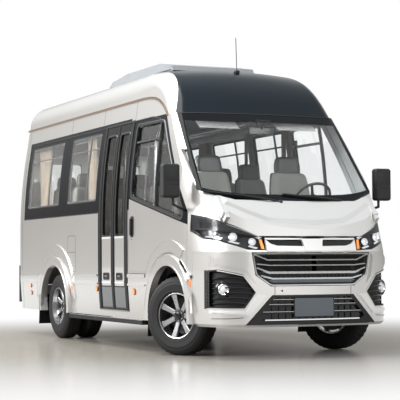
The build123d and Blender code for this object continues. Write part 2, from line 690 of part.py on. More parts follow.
# ------------------------------------------------------------------ roof unit
unit_half_y = 480
unit_outline = [(-1180, 2925), (960, 2925), (900, 3010), (560, 3070), (-420, 3078), (-900, 3040)]
with BuildPart() as air_conditioner:
    with BuildSketch(Plane.XZ.offset(-unit_half_y)):
        with BuildLine():
            Polyline(*unit_outline, close=True)
        make_face()
    extrude(amount=2 * unit_half_y)
    under = body_section().moved(Location((-1300, 0, 0)))
    add(extrude(under, amount=fan_x + 1300, dir=(1, 0, 0), mode=Mode.PRIVATE), mode=Mode.SUBTRACT)
    add(block((fan_x - 5, 1100), (-600, 600), (2900, roof_z + 3)), mode=Mode.SUBTRACT)
save(air_conditioner, "air_conditioner")
antenna_x, antenna_h = 1500, 355
with BuildPart() as antenna:
    add(Pos(antenna_x, 0, 2884) * Cylinder(26, 30, mode=Mode.PRIVATE))
    add(rod((antenna_x, 0, 2890), (antenna_x - 20, 0, 2890 + antenna_h), 4))
    add(front_cap.part, mode=Mode.SUBTRACT)
save(antenna, "antenna")

# -------------------------------------------------------------- floor, inside
floor_y, floor_nose_y, step_y = half_width - shell - 5, 890, 922
step_x = (leaf_rear_x - gap, leaf_front_x + gap)
step_in_y, step_mid_y, step_mid_z, step_t = -540, -750, 655, 20
with BuildPart() as floor_pan:
    add(block((rear_frame_x, 2280), (-floor_y, floor_y), (cab_floor_z - floor_t, cab_floor_z)))
    add(block((2280, 2540), (-floor_nose_y, floor_nose_y), (cab_floor_z - floor_t, cab_floor_z)))
    add(block(step_x, (-floor_y - 10, step_in_y), (step_z, cab_floor_z + 10)), mode=Mode.SUBTRACT)
    add(block(step_x, (-step_y, step_in_y), (step_z - step_t, step_z)))
    add(block(step_x, (step_in_y - step_t, step_in_y), (step_z - step_t, cab_floor_z)))
    add(block(step_x, (step_mid_y, step_in_y), (step_mid_z - step_t, step_mid_z)))
    add(block(step_x, (step_mid_y, step_mid_y + step_t), (step_z, step_mid_z)))
    for x_low, x_high in ((step_x[0] - 16, step_x[0]), (step_x[1], step_x[1] + 16)):
        add(block((x_low, x_high), (-step_y, step_in_y), (step_z - step_t, cab_floor_z)))
save(floor_pan, "floor_pan")

dash_half_y = 880
dash_outline = [(2330, 1230), (2630, 1230), (2690, 1390), (2640, 1470), (2420, 1475), (2330, 1400)]
with BuildPart() as dashboard:
    with BuildSketch(Plane.XZ.offset(-dash_half_y)):
        with BuildLine():
            Polyline(*dash_outline, close=True)
        make_face()
    extrude(amount=2 * dash_half_y)
    add(rod((2500, 400, 1422), (2406, 400, 1507), 38))
save(dashboard, "dashboard")
wheel_tilt = 42
hub = (2380, 400, 1530)
axis_dir = (-cos(radians(wheel_tilt)), 0, sin(radians(wheel_tilt)))
with BuildPart(Plane(origin=hub, z_dir=axis_dir)) as steering_wheel:
    Torus(190, 15)
    Cylinder(52, 34)
    with PolarLocations(110, 3, start_angle=90):
        Box(150, 34, 14)
save(steering_wheel, "steering_wheel")


def seat(x, y, base_z, wide=430):
    """Seat facing +X; x is the headrest's centre line."""
    with BuildPart(mode=Mode.PRIVATE) as one:
        with BuildSketch(Plane.XZ.offset(-(y - wide / 2))):
            with BuildLine():
                Polyline((x + 70, base_z + 300), (x + 500, base_z + 330), (x + 510, base_z + 435),
                         (x + 175, base_z + 420), (x + 60, base_z + 860), (x - 60, base_z + 850),
                         (x + 40, base_z + 330), close=True)
            make_face()
        extrude(amount=-wide)
        with Locations((x, y, base_z + 950)):
            Box(105, wide * 0.62, 215)
        with Locations((x + 330, y, base_z + 165)):
            Box(330, wide * 0.7, 330)
    return one.part


front_seats_at = [(1735, -450, cab_floor_z - 5), (1735, 450, cab_floor_z - 5)]
row_pitch = 750
right_rows = [(-820 - i * row_pitch, -580) for i in range(3)]
left_rows = [(560 - i * 720, y) for i in range(5) for y in (135, 580)]
with BuildPart() as front_seats:
    for x, y, z in front_seats_at:
        add(seat(x, y, cab_floor_z, 500))
save(front_seats, "front_seats")
with BuildPart() as seats_right:
    for x, y in right_rows:
        add(seat(x, y, cab_floor_z))
save(seats_right, "seats_right")
with BuildPart() as seats_left:
    for x, y in left_rows:
        add(seat(x, y, cab_floor_z))
save(seats_left, "seats_left")

rack_y, rack_z = (560, 830), (2440, 2500)
with BuildPart() as luggage_racks:
    for sign in (-1, 1):
        add(half(sign, (-2800, 560), rack_z, rack_y[0]) & half(sign, (-2800, 560), rack_z))
        add(block((-3000, 1000), sorted((sign * rack_y[1], sign * 1300)), (2000, 3000)), mode=Mode.SUBTRACT)
save(luggage_racks, "luggage_racks")
curtain_y, curtain_t = 850, 34
curtain_z = (1500, 2380)
curtains_at = {
    "right": [(-2600, -2150), (-760, -480)],
    "left": [(-2600, -2250), (-1380, -1110), (-60, 40), (880, 1000)],
}
with BuildPart() as curtains:
    for side, sign in signs.items():
        cloth_y = sorted((sign * curtain_y, sign * (curtain_y - curtain_t)))
        for x_span in curtains_at[side]:
            add(block(x_span, cloth_y, curtain_z))
save(curtains, "curtains")

# -------------------------------------------------------------------- chassis
rail_y, rail_w, rail_low_z, rail_high_z = 370, 80, 440, 600
rail_x = (-2980, 2900)
outrigger_xs = [-2700, -850, 900, 2450]
cross_xs = [-2900, -2200, -850, 300, 1300, 2840]
cross_w, cross_z = 70, (470, 570)
with BuildPart() as chassis_frame:
    for sign in signs.values():
        rail_sides = sorted(sign * (rail_y + edge) for edge in (-rail_w / 2, rail_w / 2))
        add(block(rail_x, rail_sides, (rail_low_z, rail_high_z)))
        for x in outrigger_xs:
            add(block((x - rail_w / 2, x + rail_w / 2), rail_sides, (rail_high_z, cab_floor_z - floor_t)))
save(chassis_frame, "chassis_frame")
with BuildPart() as cross_members:
    for x in cross_xs:
        add(block((x - cross_w / 2, x + cross_w / 2), (rail_w / 2 - rail_y, rail_y - rail_w / 2), cross_z))
save(cross_members, "cross_members")
with BuildPart() as engine:
    add(block((2140, 2790), (-290, 290), (440, 850)))
save(engine, "engine")
with BuildPart() as fuel_tank:
    add(block((-560, 300), (430, 800), (470, 760)))
    fillet(fuel_tank.edges().filter_by(Axis.X), 40)
    add(block((-500, -440), (410, 435), (480, 590)))
save(fuel_tank, "fuel_tank")
with BuildPart() as side_steps:
    for sign in (-1, 1):
        y = sorted((sign * 950, sign * 1020))
        add(block((-940, 1360), y, (268, 312)))
        for x in (-700, 1150):
            add(block((x - 20, x + 20), sorted((sign * 410, sign * 960)), (275, 300)))
            add(block((x - 20, x + 20), sorted((sign * 410, sign * 440)), (275, 560)))
save(side_steps, "side_steps")
rear_bumper_y, rear_bumper_low_z, rear_bumper_h = 970, 400, 470
with BuildPart() as rear_bumper:
    with BuildSketch(Plane.XY.offset(rear_bumper_low_z)):
        with BuildLine():
            Polyline((x_rear_skin - 5, -rear_bumper_y), (x_rear_bumper + 40, -rear_bumper_y),
                     (x_rear_bumper, 70 - rear_bumper_y), (x_rear_bumper, rear_bumper_y - 70),
                     (x_rear_bumper + 40, rear_bumper_y), (x_rear_skin - 5, rear_bumper_y), close=True)
        make_face()
    extrude(amount=rear_bumper_h)
    add(block((-3300, -3000), (-812, 812), (603, 900)), mode=Mode.SUBTRACT)
save(rear_bumper, "rear_bumper")
wiper_runs = [[(2639, -916, 1574), (2749, -563, 1517), (2816, -211, 1486)],
              [(2755, -129, 1551), (2785, 204, 1515), (2788, 536, 1488)]]
with BuildPart() as wipers:
    for points in wiper_runs:
        for start, end in zip(points[:-1], points[1:]):
            add(rod(start, end, 9))
        add(Pos(*points[1]) * Sphere(9, mode=Mode.PRIVATE))
save(wipers, "wipers")

# ----------------------------------------------------------------- axles
knuckle_r, knuckle_half = 35, 85
fork_z = (270, 500)
with BuildPart() as front_axle:
    add(block((axle_front_x - 45, axle_front_x + 45), (-745, 745), (300, 400)))
    for sign in (-1, 1):
        add(block((axle_front_x - 45, axle_front_x + 45), sorted((sign * 700, sign * 745)), fork_z))
        low_arm_z = (fork_z[0], axle_z - knuckle_half - hinge_gap)
        high_arm_z = (axle_z + knuckle_half + hinge_gap, fork_z[1])
        for arm_z in (low_arm_z, high_arm_z):
            add(block((axle_front_x - 40, axle_front_x + 40), sorted((sign * 740, sign * 830)), arm_z))
        spring_y = sorted((sign * 340, sign * 400))
        add(block((axle_front_x - 40, axle_front_x + 40), spring_y, (390, rail_low_z)))
save(front_axle, "front_axle")
rear_hub_in = 494
with BuildPart() as rear_axle:
    add(rod((axle_rear_x, -rear_hub_in, axle_z), (axle_rear_x, rear_hub_in, axle_z), 55))
    add(Pos(axle_rear_x, 0, axle_z) * Sphere(165, mode=Mode.PRIVATE))
    for sign in (-1, 1):
        spring_y = sorted((sign * 340, sign * 400))
        add(block((axle_rear_x - 50, axle_rear_x + 50), spring_y, (axle_z, rail_low_z)))
save(rear_axle, "rear_axle")


def wheel_plane(face_y, sign, centre_x, turn=0.0):
    """Plane on a wheel's outer face, its normal pointing out along the axle."""
    out = Vector(0, sign, 0).rotate(Axis.Z, turn)
    pin = Vector(centre_x, sign * kingpin_y, axle_z)
    return Plane(origin=pin + out * (face_y - kingpin_y), x_dir=(0, 0, 1), z_dir=out)


bead_r = 222
spoke_count = 7


def tyre(plane, depth=0.0):
    """Tyre ring whose outer face lies at a depth under the plane."""
    with BuildPart(mode=Mode.PRIVATE) as ring:
        with BuildSketch(Plane(origin=plane.origin, x_dir=plane.x_dir, z_dir=-plane.y_dir)) as profile:
            with BuildLine():
                Polyline((bead_r, -(depth + 22)), (bead_r, -(depth + tyre_w - 22)))
                Line((bead_r, -(depth + tyre_w - 22)), (bead_r + 40, -(depth + tyre_w - 4)))
                ThreePointArc((bead_r + 40, -(depth + tyre_w - 4)), (bead_r + 85, -(depth + tyre_w)),
                              (tyre_r - 30, -(depth + tyre_w - 10)))
                Line((tyre_r - 30, -(depth + tyre_w - 10)), (tyre_r, -(depth + tyre_w - 32)))
                Line((tyre_r, -(depth + tyre_w - 32)), (tyre_r, -(depth + 32)))
                Line((tyre_r, -(depth + 32)), (tyre_r - 30, -(depth + 10)))
                ThreePointArc((tyre_r - 30, -(depth + 10)), (bead_r + 85, -depth),
                              (bead_r + 40, -(depth + 4)))
                Line((bead_r + 40, -(depth + 4)), (bead_r, -(depth + 22)))
            make_face()
        revolve(axis=Axis(plane.origin, plane.z_dir))
    return ring.part


front_face, rear_face = 48, 92         # how deep the spokes lie under the wheel's face
hub_r, hub_depth = 78, 45
stub_r, flange_r, flange_t = 40, 76, 12


def rim(plane, depth=0.0, face=front_face):
    """Alloy rim: barrel, hub and seven spokes; face is how deep the spokes lie."""
    with BuildPart(plane, mode=Mode.PRIVATE) as wheel:
        with BuildSketch(plane.offset(-(depth + tyre_w - 18))):
            Circle(bead_r - 0.3)
            Circle(bead_r - 18, mode=Mode.SUBTRACT)
        extrude(amount=tyre_w - 36)
        with BuildSketch(plane.offset(-(depth + face + hub_depth))):
            Circle(hub_r)
        extrude(amount=55)
        with BuildSketch(plane.offset(-(depth + face + 32))):
            with PolarLocations(bead_r * 0.6, spoke_count):
                Rectangle(bead_r * 0.86, 52)
            Circle(bead_r - 10, mode=Mode.INTERSECT)
        extrude(amount=32)
    return wheel.part


for side, sign in signs.items():
    plane = wheel_plane(wheel_face_y, sign, axle_front_x, steer_rest)
    with BuildPart() as front_tyre:
        add(tyre(plane))
    save(front_tyre, f"front_tyre_{side}")
    with BuildPart() as front_rim:
        add(rim(plane))
    save(front_rim, f"front_rim_{side}")
    with BuildPart() as knuckle:
        pin = Vector(axle_front_x, sign * kingpin_y, axle_z)
        add(rod(tuple(pin - Vector(0, 0, knuckle_half)), tuple(pin + Vector(0, 0, knuckle_half)), knuckle_r))
        hub_face = plane.origin - plane.z_dir * (front_face + hub_depth + hinge_gap)
        hub_back = hub_face - plane.z_dir * flange_t
        add(rod(tuple(pin), tuple(hub_back), stub_r))
        add(rod(tuple(hub_back), tuple(hub_face), flange_r))
    save(knuckle, f"knuckle_{side}")
    plane = wheel_plane(wheel_face_y - 20, sign, axle_rear_x)
    with BuildPart() as rear_tyres:
        add(tyre(plane))
        add(tyre(plane, tyre_w + twin_gap))
    save(rear_tyres, f"rear_tyres_{side}")
    with BuildPart() as rear_rims:
        add(rim(plane, 0, rear_face))
        add(rim(plane, tyre_w + twin_gap, rear_face))
        outer_end = plane.origin - plane.z_dir * 120
        inner_end = plane.origin - plane.z_dir * (2 * tyre_w + twin_gap)
        add(rod(tuple(outer_end), tuple(inner_end), hub_r))
    save(rear_rims, f"rear_rims_{side}")
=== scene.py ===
"""Dresses the minibus: materials, trim, lamps, wheels, glass, seats and curtains."""
import math

import bmesh
import bpy
from mathutils import Matrix, Vector


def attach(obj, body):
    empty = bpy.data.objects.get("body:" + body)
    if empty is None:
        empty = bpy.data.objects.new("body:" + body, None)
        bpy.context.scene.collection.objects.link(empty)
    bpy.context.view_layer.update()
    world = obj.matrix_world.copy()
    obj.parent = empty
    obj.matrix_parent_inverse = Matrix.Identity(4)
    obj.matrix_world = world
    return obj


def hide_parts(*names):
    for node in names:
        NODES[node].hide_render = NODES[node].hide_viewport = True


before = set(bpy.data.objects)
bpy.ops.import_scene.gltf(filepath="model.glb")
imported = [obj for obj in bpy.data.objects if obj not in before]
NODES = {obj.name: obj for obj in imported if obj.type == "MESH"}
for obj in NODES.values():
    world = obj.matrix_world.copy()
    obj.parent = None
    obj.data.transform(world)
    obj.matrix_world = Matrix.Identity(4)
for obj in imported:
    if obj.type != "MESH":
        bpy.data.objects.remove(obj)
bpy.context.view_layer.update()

SIDES = {"right": -1, "left": 1}

# ------------------------------------------------------------------ surfaces
# The same lines and arcs as the part's own skin, in metres.
BELT_Z, FAN_Z, LEAN = 1.3, 2.25, math.radians(9)
SILL_Z, TUCK = 0.7, 0.026 / 0.38
SIDE_R = (FAN_Z - BELT_Z) / math.sin(LEAN)
SEAM_Z, NOSE_BREAK_Z, NOSE_SLOPE = 2.39, 1.0, 0.35
FLANK_R, CORNER_R, FLANK_CY = 1.5, 0.35, -0.5
FLANK_TURN, FRONT_TURN = math.radians(20), math.radians(90 - 9.25)
FLANK_Y = 1 - FLANK_R * (1 - math.cos(FLANK_TURN))
CORNER_Y = FLANK_Y - CORNER_R * (math.cos(FLANK_TURN) - math.cos(FRONT_TURN))
FRONT_R = CORNER_Y / math.cos(FRONT_TURN)
FRONT_CX = 3.15 - FRONT_R
CORNER_CX = FRONT_CX + (FRONT_R - CORNER_R) * math.sin(FRONT_TURN)
CORNER_CY = (FRONT_R - CORNER_R) * math.cos(FRONT_TURN)
FLANK_CX = CORNER_CX - (FLANK_R - CORNER_R) * math.sin(FLANK_TURN)
SCREEN_BOW, SCREEN_TIP_X, SCREEN_SLOPE = math.radians(12), 2.057, 0.813
REAR_X = -3.04


def side_y(z):
    """Half width of the body's skin at height z."""
    if z < SILL_Z:
        return 1 - TUCK * (SILL_Z - z)
    if z <= BELT_Z:
        return 1.0
    if z <= FAN_Z:
        return 1 - SIDE_R + math.sqrt(SIDE_R**2 - (z - BELT_Z) ** 2)
    return side_y(FAN_Z) - (z - FAN_Z) * math.tan(LEAN)


def circle(radius, offset):
    """Height of a circle at an offset from its centre, 0 beyond it."""
    return math.sqrt(max(radius**2 - offset**2, 0))


def nose_x(y, z, inset=0.0):
    """X of the nose's skin, in by an inset."""
    a = abs(y)
    if a <= CORNER_Y:
        x = FRONT_CX + circle(FRONT_R - inset, a)
    elif a <= FLANK_Y:
        x = CORNER_CX + circle(CORNER_R - inset, a - CORNER_CY)
    else:
        x = FLANK_CX + circle(FLANK_R - inset, a - FLANK_CY)
    return x - NOSE_SLOPE * max(0.0, z - NOSE_BREAK_Z)


def screen_x(y, z, inset=0.0):
    """X of the windscreen's outer face."""
    share = max(0.0, (z - BELT_Z) / (SEAM_Z - BELT_Z))
    radius = 0.135 - 0.02 * share
    bow_r = (side_y(z) - radius * (1 - math.sin(SCREEN_BOW))) / math.sin(SCREEN_BOW)
    middle = SCREEN_TIP_X + SCREEN_SLOPE * (SEAM_Z - z) - bow_r
    edge = bow_r * math.sin(SCREEN_BOW)
    if abs(y) <= edge:
        return middle + circle(bow_r - inset, y)
    corner_y = edge - radius * math.sin(SCREEN_BOW)
    return middle + (bow_r - radius) * math.cos(SCREEN_BOW) + circle(radius - inset, abs(y) - corner_y)


# Each place takes two coordinates on a surface and a depth below it.
def on_nose(y, z, d=0.0):
    return Vector((nose_x(y, z, d), y, z))


def on_screen(y, z, d=0.0):
    return Vector((screen_x(y, z, d), y, z))


def on_side(sign):
    return lambda x, z, d=0.0: Vector((x, sign * (side_y(z) - d), z))


def on_flat(sign, y):
    """A wall at a fixed distance from the middle."""
    return lambda x, z, d=0.0: Vector((x, sign * (y - d), z))


def on_rear(y, z, d=0.0):
    return Vector((REAR_X + d, y, z))


# ----------------------------------------------------------------- materials
SILVER, DARK, TRIM = (0.66, 0.65, 0.63), (0.004, 0.005, 0.0065), (0.34, 0.345, 0.35)


def scaled(color, factor):
    return tuple(min(1.0, c * factor) for c in color)


class Tree:
    """A node tree, with short calls for the nodes that the looks share."""

    def __init__(self, tree):
        self.tree = tree
        tree.nodes.clear()

    def put(self, socket, value):
        """Set a socket to a number or a colour, or link it to another socket."""
        if isinstance(value, tuple):
            socket.default_value = (*value, 1)[:4]
        elif isinstance(value, (int, float)):
            socket.default_value = value
        else:
            self.tree.links.new(value, socket)

    def add(self, kind, inputs=(), **settings):
        """Add a node; inputs holds values by the name or number of the socket."""
        node = self.tree.nodes.new("ShaderNode" + kind)
        for name, value in settings.items():
            setattr(node, name, value)
        for name, value in dict(inputs).items():
            self.put(node.inputs[name], value)
        return node

    def math(self, operation, first, *others):
        """The operation on one value, or on more of them, two at a time from the left."""
        if not others:
            return self.add("Math", {0: first}, operation=operation).outputs[0]
        for other in others:
            first = self.add("Math", {0: first, 1: other}, operation=operation).outputs[0]
        return first

    def between(self, value, low, high):
        """1 where the value lies between two limits."""
        above, below = self.math("GREATER_THAN", value, low), self.math("LESS_THAN", value, high)
        return self.math("MULTIPLY", above, below)

    def mix_color(self, factor, a, b):
        return self.add("Mix", {0: factor, 6: a, 7: b}, data_type="RGBA").outputs[2]

    def mix_value(self, factor, a, b):
        return self.add("Mix", {0: factor, 2: a, 3: b}, data_type="FLOAT").outputs[0]

    def mix_shader(self, factor, a, b):
        return self.add("MixShader", {0: factor, 1: a.outputs[0], 2: b.outputs[0]}).outputs[0]

    def split(self, socket):
        """X, Y and Z of a vector."""
        return self.add("SeparateXYZ", {0: socket}).outputs


class Finish(Tree):
    """A new material: one shader, placed by object coordinates."""

    def __init__(self, name):
        self.material = bpy.data.materials.new(name)
        self.material.use_nodes = True
        super().__init__(self.material.node_tree)
        self.shader = self.add("BsdfPrincipled")
        self.out = self.add("OutputMaterial", {0: self.shader.outputs[0]})
        self.coords = self.add("TexCoord").outputs
        self.here = self.coords["Object"]

    def surface(self, inputs):
        for name, value in inputs.items():
            self.put(self.shader.inputs[name], value)

    def noise(self, scale, detail=3.0):
        return self.add("TexNoise", {"Scale": scale, "Detail": detail, "Vector": self.here}).outputs["Fac"]

    def wave(self, axis, scale, **inputs):
        """Bands across an axis."""
        inputs.update(Scale=scale, Vector=self.here)
        return self.add("TexWave", inputs, bands_direction=axis).outputs["Fac"]

    def cloudy(self, color, cloud, low, high):
        """The colour, darker and lighter with the cloud."""
        return self.mix_color(cloud, scaled(color, low), scaled(color, high))

    def bump(self, height, strength, distance):
        bump = self.add("Bump", {"Strength": strength, "Distance": distance, "Height": height})
        self.surface({"Normal": bump.outputs[0]})


def material(name, color, rough=0.5, metal=0.0, coat=0.0, grain=(900, 0.15, 0.0004), vary=(2.2, 0.04),
             rough_vary=0.06, sheen=0.0, spec=0.32):
    """Plain finish: cloudy colour, uneven roughness, fine surface grain."""
    finish = Finish(name)
    cloud = finish.noise(vary[0], 4.0)
    finish.surface({
        "Base Color": finish.cloudy(color, cloud, 1 - vary[1], 1 + vary[1]),
        "Roughness": finish.mix_value(cloud, max(0.02, rough - rough_vary), min(1, rough + rough_vary)),
        "Metallic": metal, "Coat Weight": coat, "Coat Roughness": 0.04, "Sheen Weight": sheen,
        "Specular IOR Level": spec})
    finish.bump(finish.noise(grain[0], 2.0), grain[1], grain[2])
    return finish


def paint(name, color=SILVER, metal=0.85, rough=0.3, zones=None, inner=True, gloss=1.0):
    """Metal-flake paint; gloss black where zones is 1, and grey trim on the faces that look inward."""
    finish = Finish(name)
    x, y, z = finish.split(finish.here)
    cloud = finish.noise(1.3)
    flake = finish.math("MULTIPLY", finish.noise(1600, 1.0), 0.25)
    base = finish.mix_color(flake, finish.cloudy(color, cloud, 0.96, 1.03), scaled(color, 1.12))
    look = {"Base Color": base, "Roughness": rough, "Metallic": metal, "Coat Weight": gloss,
            "Specular IOR Level": 0.5 * gloss, "Coat Roughness": 0.03}

    def cover(mask, layer):
        """Lay another look over the paint where the mask is 1."""
        for name, value in layer.items():
            mix = finish.mix_color if name == "Base Color" else finish.mix_value
            look[name] = mix(mask, look[name], value)

    if zones:
        cover(zones(finish, x, y, z), {"Base Color": DARK, "Roughness": 0.16, "Metallic": 0.0,
                                       "Coat Weight": 0.06, "Specular IOR Level": 0.22})
    if inner:
        mid_z, end_share, inward = 1.7, 0.25, -0.25
        nx, ny, nz = finish.split(finish.coords["Normal"])
        across = finish.math("MULTIPLY", y, ny)
        up = finish.math("MULTIPLY", finish.math("SUBTRACT", z, mid_z), nz)
        along = finish.math("MULTIPLY", nx, finish.math("MULTIPLY", x, end_share))
        inside = finish.math("LESS_THAN", finish.math("ADD", across, up, along), inward)
        weave = finish.cloudy(TRIM, finish.noise(700, 2.0), 0.88, 1.08)
        cover(inside, {"Base Color": weave, "Roughness": 0.75, "Metallic": 0.0, "Coat Weight": 0.0})
    finish.surface(look)
    finish.bump(cloud, 0.05, 0.002)
    return finish


def glass(name, tint, zones=None, ior=1.45):
    """Pane that lets lamps through; zones is 1 where it is clear, and gloss black elsewhere."""
    finish = Finish(name)
    film = finish.noise(3.0)
    clear, color = 1.0, finish.cloudy(tint, film, 0.97, 1.02)
    passing = finish.add("LightPath").outputs["Is Shadow Ray"]
    if zones:
        clear = zones(finish, *finish.split(finish.here))
        color = finish.mix_color(clear, DARK, color)
        passing = finish.math("MULTIPLY", passing, clear)
    finish.surface({"Base Color": color, "Transmission Weight": clear, "IOR": ior, "Specular IOR Level": 0.35,
                    "Roughness": finish.mix_value(film, 0.0, 0.015)})
    open_way = finish.add("BsdfTransparent", {0: tint})
    finish.put(finish.out.inputs[0], finish.mix_shader(passing, finish.shader, open_way))
    return finish


def fabric(name, color, second, scale=900, rough=0.9, sheen=0.4):
    """Woven cloth: two thread directions, tufts and slow colour change."""
    finish = Finish(name)
    threads = [finish.wave(axis, scale / 10, Distortion=1.5) for axis in ("X", "Z")]
    tuft = finish.noise(scale, 2.0)
    base = finish.mix_color(finish.noise(6.0, 4.0), color, second)
    base = finish.mix_color(finish.math("MULTIPLY", tuft, 0.4), base, scaled(color, 0.7))
    finish.surface({"Base Color": base, "Roughness": rough, "Sheen Weight": sheen, "Sheen Roughness": 0.4})
    finish.bump(finish.math("ADD", finish.math("MULTIPLY", *threads), tuft), 0.35, 0.0008)
    return finish


def leather(name, color, rough=0.42):
    """Grained leather: cells with soft creases between them."""
    finish = Finish(name)
    cells = finish.add("TexVoronoi", {"Scale": 420, "Vector": finish.here})
    cloud = finish.noise(5.0, 4.0)
    finish.surface({"Base Color": finish.cloudy(color, cloud, 0.85, 1.15), "Coat Weight": 0.12,
                    "Roughness": finish.mix_value(cloud, rough - 0.06, rough + 0.08)})
    finish.bump(cells.outputs["Distance"], 0.3, 0.0008)
    return finish


def lamp_lens(name, color, strength=0.0):
    """Moulded coloured lens with fine flutes."""
    finish = Finish(name)
    finish.surface({"Base Color": finish.cloudy(color, finish.noise(30, 2.0), 0.8, 1.2), "Roughness": 0.12,
                    "Coat Weight": 1.0, "Emission Color": color, "Emission Strength": strength})
    finish.bump(finish.wave("Z", 60), 0.4, 0.001)
    return finish


# Black patches of the walls, each with its reach in X and in Z.
WINDOW_BAND = ((-2.79, 0.94), (1.455, 2.43))
OVER_CAB_DOOR = ((0.9, 1.75), (2.33, 2.43))
ENTRANCE_BAY = ((-0.01, 0.905), (0.39, 2.43))


def patches(*places):
    """Zones that are 1 on patches of a wall."""
    def zones(tree, x, _, z):
        return tree.math("MAXIMUM", *(tree.math("MULTIPLY", tree.between(x, *along), tree.between(z, *up))
                                      for along, up in places))
    return zones


def over_slope(tree, x, _, z):
    """Black round a cab door's window: everything over a sloping line."""
    drop = tree.math("MULTIPLY", tree.math("SUBTRACT", x, 0.995), 0.2)
    return tree.math("GREATER_THAN", tree.math("ADD", z, drop), 1.556)


def side_panes(tree, x, y, z):
    """Clear panes of the side glass; the one over the entrance's place is only on the left."""
    left = tree.math("SUBTRACT", 1.0, tree.math("LESS_THAN", y, 0.0))
    extra = tree.math("MULTIPLY", tree.between(x, 0.07, 0.86), left)
    panes = tree.math("MAXIMUM", tree.between(x, -2.63, -1.41), tree.between(x, -1.075, -0.1), extra)
    return tree.math("MULTIPLY", panes, tree.between(z, 1.595, 2.34))


def screen_pane(tree, _, y, z):
    """Clear part of the windscreen inside the black frit."""
    a = tree.math("ABSOLUTE", y)
    leaned = tree.math("ADD", a, tree.math("MULTIPLY", z, 0.0875))
    bowed = tree.math("SUBTRACT", z, tree.math("MULTIPLY", tree.math("POWER", a, 4.0), 0.1))
    return tree.math("MULTIPLY", tree.math("LESS_THAN", leaned, 1.038),
                     tree.math("GREATER_THAN", bowed, 1.545), tree.math("LESS_THAN", z, 2.3))


FINISHES = {
    "silver": paint("silver_paint_plain", inner=False),
    "roof": paint("silver_paint_roof"),
    "wall_right": paint("paint_wall_right", zones=patches(WINDOW_BAND, ENTRANCE_BAY, OVER_CAB_DOOR)),
    "wall_left": paint("paint_wall_left", zones=patches(WINDOW_BAND, OVER_CAB_DOOR)),
    "door": paint("paint_cab_door", zones=over_slope),
    "bright": material("bright_paint", (0.74, 0.735, 0.72), 0.3, 0.55, 0.6, vary=(3, 0.03)),
    "cap": paint("cap_blue_black", (0.004, 0.008, 0.012), 0.0, 0.24, gloss=0.18),
    "leaf": paint("leaf_black", (0.01, 0.01, 0.0105), 0.0, 0.25, gloss=0.2),
    "black": material("gloss_black", (0.005, 0.0055, 0.006), 0.14, 0.0, 0.2, vary=(3, 0.1), spec=0.35),
    "plastic": material("grained_plastic", (0.009, 0.0095, 0.01), 0.55, grain=(1400, 0.5, 0.0005),
                        vary=(4, 0.12)),
    "plastic_grey": material("grey_plastic", (0.3, 0.305, 0.31), 0.6, grain=(1200, 0.5, 0.0005)),
    "unit_grey": material("unit_grey", (0.17, 0.18, 0.19), 0.5, grain=(1200, 0.4, 0.0005), spec=0.35),
    "lining": material("headlining", (0.46, 0.46, 0.455), 0.9, grain=(1500, 0.6, 0.0006), sheen=0.3),
    "floor": material("floor_vinyl", (0.1, 0.105, 0.115), 0.55, grain=(300, 0.5, 0.001), vary=(60, 0.25)),
    "rubber": material("rubber", (0.009, 0.009, 0.0095), 0.7, grain=(500, 0.4, 0.0006), vary=(8, 0.15)),
    "tyre": material("tyre_rubber", (0.009, 0.009, 0.0095), 0.72, grain=(260, 0.5, 0.0008), vary=(7, 0.25)),
    "chrome": material("chrome", (0.8, 0.81, 0.83), 0.09, 1.0, rough_vary=0.03, grain=(90, 0.03, 0.0004)),
    "alloy": material("cast_alloy", (0.42, 0.42, 0.43), 0.28, 1.0, 0.4, grain=(700, 0.25, 0.0004)),
    # near-black alloy of the drum and hub behind the spokes and of the ring round the cap: painted shade in
    # the wheel's hollows
    "alloy_dark": material("alloy_shadow", (0.05, 0.05, 0.053), 0.45, 0.6, grain=(500, 0.3, 0.0004)),
    "steel": material("chassis_black", (0.022, 0.022, 0.024), 0.55, 0.1, grain=(150, 0.5, 0.0012),
                      vary=(9, 0.3)),
    "cast": material("cast_iron", (0.06, 0.06, 0.062), 0.6, 0.7, grain=(220, 0.7, 0.0014), vary=(14, 0.3)),
    "amber": lamp_lens("amber_lens", (0.8, 0.22, 0.02), 0.12),
    "red": lamp_lens("red_lens", (0.42, 0.008, 0.01), 0.08),
    "white_lens": lamp_lens("white_lens", (0.7, 0.71, 0.73)),
    "chrome_dark": material("satin_trim", (0.42, 0.43, 0.45), 0.22, 1.0, rough_vary=0.05,
                            grain=(120, 0.1, 0.0004)),
    "trim_bronze": material("bronze_trim", (0.22, 0.15, 0.1), 0.3, 0.7, 0.4, grain=(200, 0.1, 0.0004)),
    "grey_dark": material("dark_grey_panel", (0.085, 0.088, 0.092), 0.35, 0.2, 0.5, vary=(6, 0.1)),
    "led": material("led_strip", (0.9, 0.91, 0.92), 0.2, 0.0, 1.0),
    "plate": material("bare_plate", (0.085, 0.1, 0.115), 0.38, 0.1, 0.3),
    "mirror": material("mirror_glass", (0.75, 0.77, 0.8), 0.03, 1.0, rough_vary=0.01,
                       grain=(20, 0.01, 0.0002)),
    "screen": glass("screen_glass", (0.955, 0.975, 0.972), screen_pane, ior=1.26),
    "side_glass": glass("side_glass_tint", (0.95, 0.955, 0.945), side_panes, ior=1.35),
    "door_glass": glass("cab_glass", (0.965, 0.975, 0.975), ior=1.32),
    "leaf_glass": glass("leaf_glass_tint", (0.24, 0.24, 0.23), ior=1.3),
    "rear_glass": glass("rear_glass_tint", (0.7, 0.72, 0.72)),
    "cover": glass("lamp_cover", (0.97, 0.975, 0.98), ior=1.16),
    "seat_cloth": fabric("seat_cloth", (0.15, 0.146, 0.138), (0.205, 0.2, 0.188), sheen=0.15),
    "seat_side": leather("seat_side_leather", (0.016, 0.016, 0.016)),
    "leather": leather("black_leather", (0.006, 0.006, 0.0065), 0.45),
    "curtain": fabric("curtain_cloth", (0.165, 0.132, 0.098), (0.21, 0.172, 0.13), 1400, 0.9, 0.3),
}
M = {key: finish.material for key, finish in FINISHES.items()}

